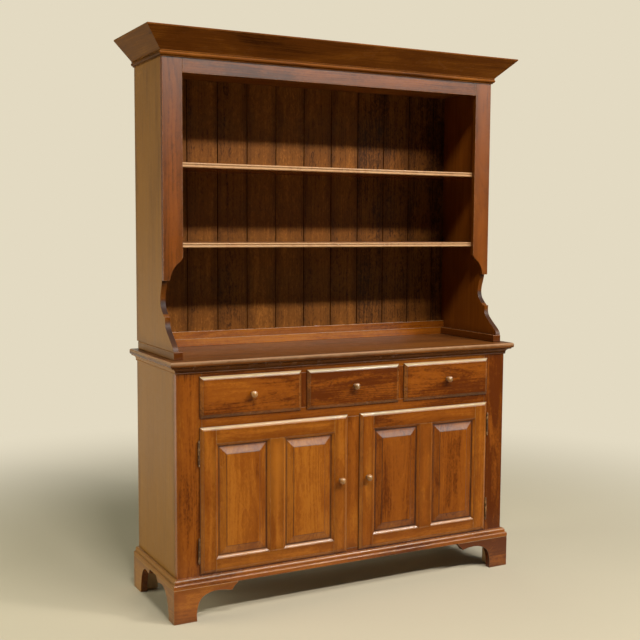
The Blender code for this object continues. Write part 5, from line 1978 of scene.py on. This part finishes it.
@dataclass(frozen=True)
class Lamp:
    """Soft square lamp: where it hangs, what it faces, its size, its power in watts and its colour."""

    name: str
    place: Point
    target: Point
    size: tuple[float, float]
    power: float
    colour: Colour

    def hang(self) -> None:
        """Hang the lamp and turn it to its target."""
        light = bpy.data.lights.new(self.name, "AREA")
        light.shape = "RECTANGLE"
        light.size, light.size_y = self.size
        light.energy = self.power
        light.color = self.colour
        lamp = bpy.data.objects.new(self.name, light)
        bpy.context.scene.collection.objects.link(lamp)
        lamp.location = self.place
        lamp.rotation_euler = (Vector(self.target) - Vector(self.place)).to_track_quat("-Z", "Y").to_euler()


WHITE_LIGHT = (1.0, 0.96, 0.90)
WARM_LIGHT = (1.0, 0.96, 0.76)
LAMPS = (
    Lamp("key_lamp", (3.0, -3.75, 4.5), (0.0, 0.0, 1.0), (0.5, 0.3), 90, WHITE_LIGHT),
    Lamp("row_lamp", (2.4, -3.75, 4.5), (2.4, 0.0, 0.9), (4.6, 0.3), 290, WHITE_LIGHT),
    Lamp("top_lamp", (-0.8, -2.6, 4.5), (0.0, 0.0, 0.8), (0.9, 0.7), 120, WHITE_LIGHT),
    Lamp("left_lamp", (-4.0, 0.9, 1.2), (0.0, 0.2, 0.8), (2.0, 1.8), 110, WARM_LIGHT),
    Lamp("back_lamp", (0.6, 3.8, 3.0), (0.0, 0.0, 1.0), (3.0, 2.0), 30, WARM_LIGHT),
)


@dataclass(frozen=True)
class Studio:
    """Pale floor, soft lamps, pale surroundings and the camera of the photograph.

    Each pair of limits is where a mask starts and where it is full, in parts of the world's
    direction or in metres on the floor.
    """

    backdrop: Colour = (0.77, 0.70, 0.54)
    backdrop_limits: tuple[float, float] = (-0.30, 0.25)
    backdrop_share: float = 0.2
    floor: Colour = (0.53, 0.475, 0.355)
    floor_radius: float = 26.0
    floor_corners: int = 96
    floor_cloud: float = 0.93
    floor_far: tuple[float, float] = (1.2, 3.4)
    floor_behind: tuple[float, float] = (-1.0, 1.0)
    floor_before: tuple[float, float] = (-0.25, -0.9)
    room: Colour = (0.95, 0.95, 1.0)
    ambient: float = 0.05
    sheen: float = 5.9
    sheen_rise: tuple[float, float] = (0.07, 0.25)
    sheen_top: tuple[float, float] = (0.44, 0.30)
    sheen_front: tuple[float, float] = (-0.2, -0.45)
    sheen_left: tuple[float, float] = (0.08, 0.30)
    sheen_right: tuple[float, float] = (0.85, 0.70)
    sky: Colour = (0.60, 0.95, 1.0)
    position: Point = (-1.8893, -3.5043, 1.3801)
    azimuth: float = -27.819
    elevation: float = 5.140
    roll: float = 0.321
    lens: float = 57.71

    def build(self) -> None:
        """Set up the floor, the world, the lamps and the camera."""
        self.lay_floor()
        self.world()
        for lamp in LAMPS:
            lamp.hang()
        self.camera()
        bpy.context.scene.view_settings.view_transform = "Standard"

    @staticmethod
    def glossy(graph: Graph) -> bpy.types.NodeSocket:
        """Mask of the rays off gloss and through glass."""
        rays = graph.add("ShaderNodeLightPath").outputs
        return graph.math("MAXIMUM", rays["Is Glossy Ray"], rays["Is Transmission Ray"])

    def seen(self, graph: Graph, behind: object) -> bpy.types.NodeSocket:
        """Mask of the rays that show the pale surroundings.

        Args:
            graph: Shader tree.
            behind: Share of the backdrop in what the ray meets.

        Returns:
            1 for the camera, and the share for gloss and glass.
        """
        camera = graph.add("ShaderNodeLightPath").outputs["Is Camera Ray"]
        return graph.math("MAXIMUM", camera, graph.product(self.glossy(graph), behind))

    def world(self) -> None:
        """Pale backdrop behind the object, and before it a dim room with a band that only gloss mirrors."""
        world = bpy.data.worlds.new("studio")
        bpy.context.scene.world = world
        world.use_nodes = True
        graph = Graph(world.node_tree)
        world.node_tree.nodes.clear()
        way = graph.add("ShaderNodeTexCoord").outputs["Generated"]
        across, away, up = graph.add("ShaderNodeSeparateXYZ", {0: way}).outputs
        behind = graph.product(graph.span(away, *self.backdrop_limits), self.backdrop_share)
        limits = (
            (up, self.sheen_rise), (up, self.sheen_top), (away, self.sheen_front), (across, self.sheen_left),
            (across, self.sheen_right),
        )
        band = graph.product(self.glossy(graph), *(graph.span(part, *pair) for part, pair in limits))
        strength = graph.math("MULTIPLY_ADD", band, self.sheen, self.ambient)
        light = graph.add("ShaderNodeBackground", {"Color": (*self.sky, 1.0), "Strength": strength})
        pale = graph.add("ShaderNodeBackground", {"Color": (*self.backdrop, 1.0), "Strength": 1.0})
        mixed = graph.add(
            "ShaderNodeMixShader", {0: self.seen(graph, behind), 1: light.outputs[0], 2: pale.outputs[0]},
        )
        graph.add("ShaderNodeOutputWorld", {"Surface": mixed.outputs[0]})

    def lay_floor(self) -> None:
        """Wide round floor that fades into the surroundings far from the object."""
        angle = np.linspace(0, 2 * math.pi, self.floor_corners, endpoint=False)
        rim = self.floor_radius * np.stack([np.cos(angle), np.sin(angle), np.zeros(len(angle))], axis=1)
        mesh = bpy.data.meshes.new("floor")
        mesh.from_pydata(rim.tolist(), [], [tuple(range(len(rim)))])
        floor = bpy.data.objects.new("floor", mesh)
        bpy.context.scene.collection.objects.link(floor)
        material, graph, shader = new_material("pale_floor")
        place = graph.add("ShaderNodeTexCoord").outputs["Object"]
        cloud = graph.noise(place, (1.3, 1.3, 1.3), 4.0, 0.6)
        grit = graph.noise(place, (60.0, 60.0, 60.0), 2.0, 0.6)
        tint = tuple(self.floor_cloud * part for part in self.floor)
        share = graph.math("MULTIPLY_ADD", grit, 0.3, graph.product(cloud, 0.7))
        graph.fill(shader, {
            "Base Color": graph.blend(share, tint, self.floor), "Roughness": 0.75, "Specular IOR Level": 0.2,
        })
        far = graph.span(graph.vector("LENGTH", place), *self.floor_far)
        front = graph.add("ShaderNodeSeparateXYZ", {0: place}).outputs[1]
        share = graph.product(far, self.seen(graph, graph.span(front, *self.floor_behind)))
        glow = graph.add("ShaderNodeEmission", {"Color": (*self.backdrop, 1.0), "Strength": 1.0})
        room = graph.add("ShaderNodeEmission", {"Color": (*self.room, 1.0), "Strength": self.ambient})
        mixed = graph.add("ShaderNodeMixShader", {0: share, 1: shader.outputs[0], 2: glow.outputs[0]})
        dim = graph.product(graph.span(front, *self.floor_before), self.glossy(graph))
        mixed = graph.add("ShaderNodeMixShader", {0: dim, 1: mixed.outputs[0], 2: room.outputs[0]})
        output = material.node_tree.nodes["Material Output"]
        graph.put(output.inputs["Surface"], mixed.outputs[0])
        mesh.materials.append(material)

    def camera(self) -> None:
        """Camera at the photograph's place, turned by its azimuth, elevation and roll."""
        turn, tilt, roll = (math.radians(angle) for angle in (self.azimuth, self.elevation, self.roll))
        back = Vector((math.sin(turn) * math.cos(tilt), -math.cos(turn) * math.cos(tilt), math.sin(tilt)))
        right = Vector((math.cos(turn), math.sin(turn), 0.0))
        up = back.cross(right)
        level = math.cos(roll) * right + math.sin(roll) * up
        upright = math.cos(roll) * up - math.sin(roll) * right
        lens = bpy.data.cameras.new("photo_camera")
        lens.sensor_fit = "HORIZONTAL"
        lens.sensor_width = 36.0
        lens.lens = self.lens
        lens.clip_end = 100.0
        camera = bpy.data.objects.new("photo_camera", lens)
        bpy.context.scene.collection.objects.link(camera)
        pose = Matrix((level, upright, back)).transposed().to_4x4()
        pose.translation = Vector(self.position)
        camera.matrix_world = pose
        bpy.context.scene.camera = camera


def dress_kept(nodes: dict[str, bpy.types.Object]) -> None:
    """Give the hinge leaves, which stay as packed, their dark bronze.

    Args:
        nodes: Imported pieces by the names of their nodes.
    """
    for name, node in nodes.items():
        if name.startswith("hinge_"):
            node.data.materials.clear()
            node.data.materials.append(BRONZE.material())
            LOG.info("%s dressed as dark bronze", name)


def main() -> None:
    """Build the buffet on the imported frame, sub-assembly by sub-assembly."""
    logging.basicConfig(level=logging.INFO, format="%(name)s: %(message)s")
    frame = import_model()
    Case().build()
    Counter().build()
    Feet().build()
    PanelDoor(Side.LEFT, 519, 0.7, (0.3, 0.3)).build()
    PanelDoor(Side.RIGHT, 569, 0.35, (0.0, 0.6)).build()
    for number, (word, tone) in enumerate((("left", -0.9), ("middle", -1.0), ("right", -0.6))):
        Drawer(word, 260 + 12 * number, tone).build()
    Hutch().build()
    Crown().build()
    dress_kept(frame["nodes"])
    Studio().build()


if __name__ == "__main__":
    main()
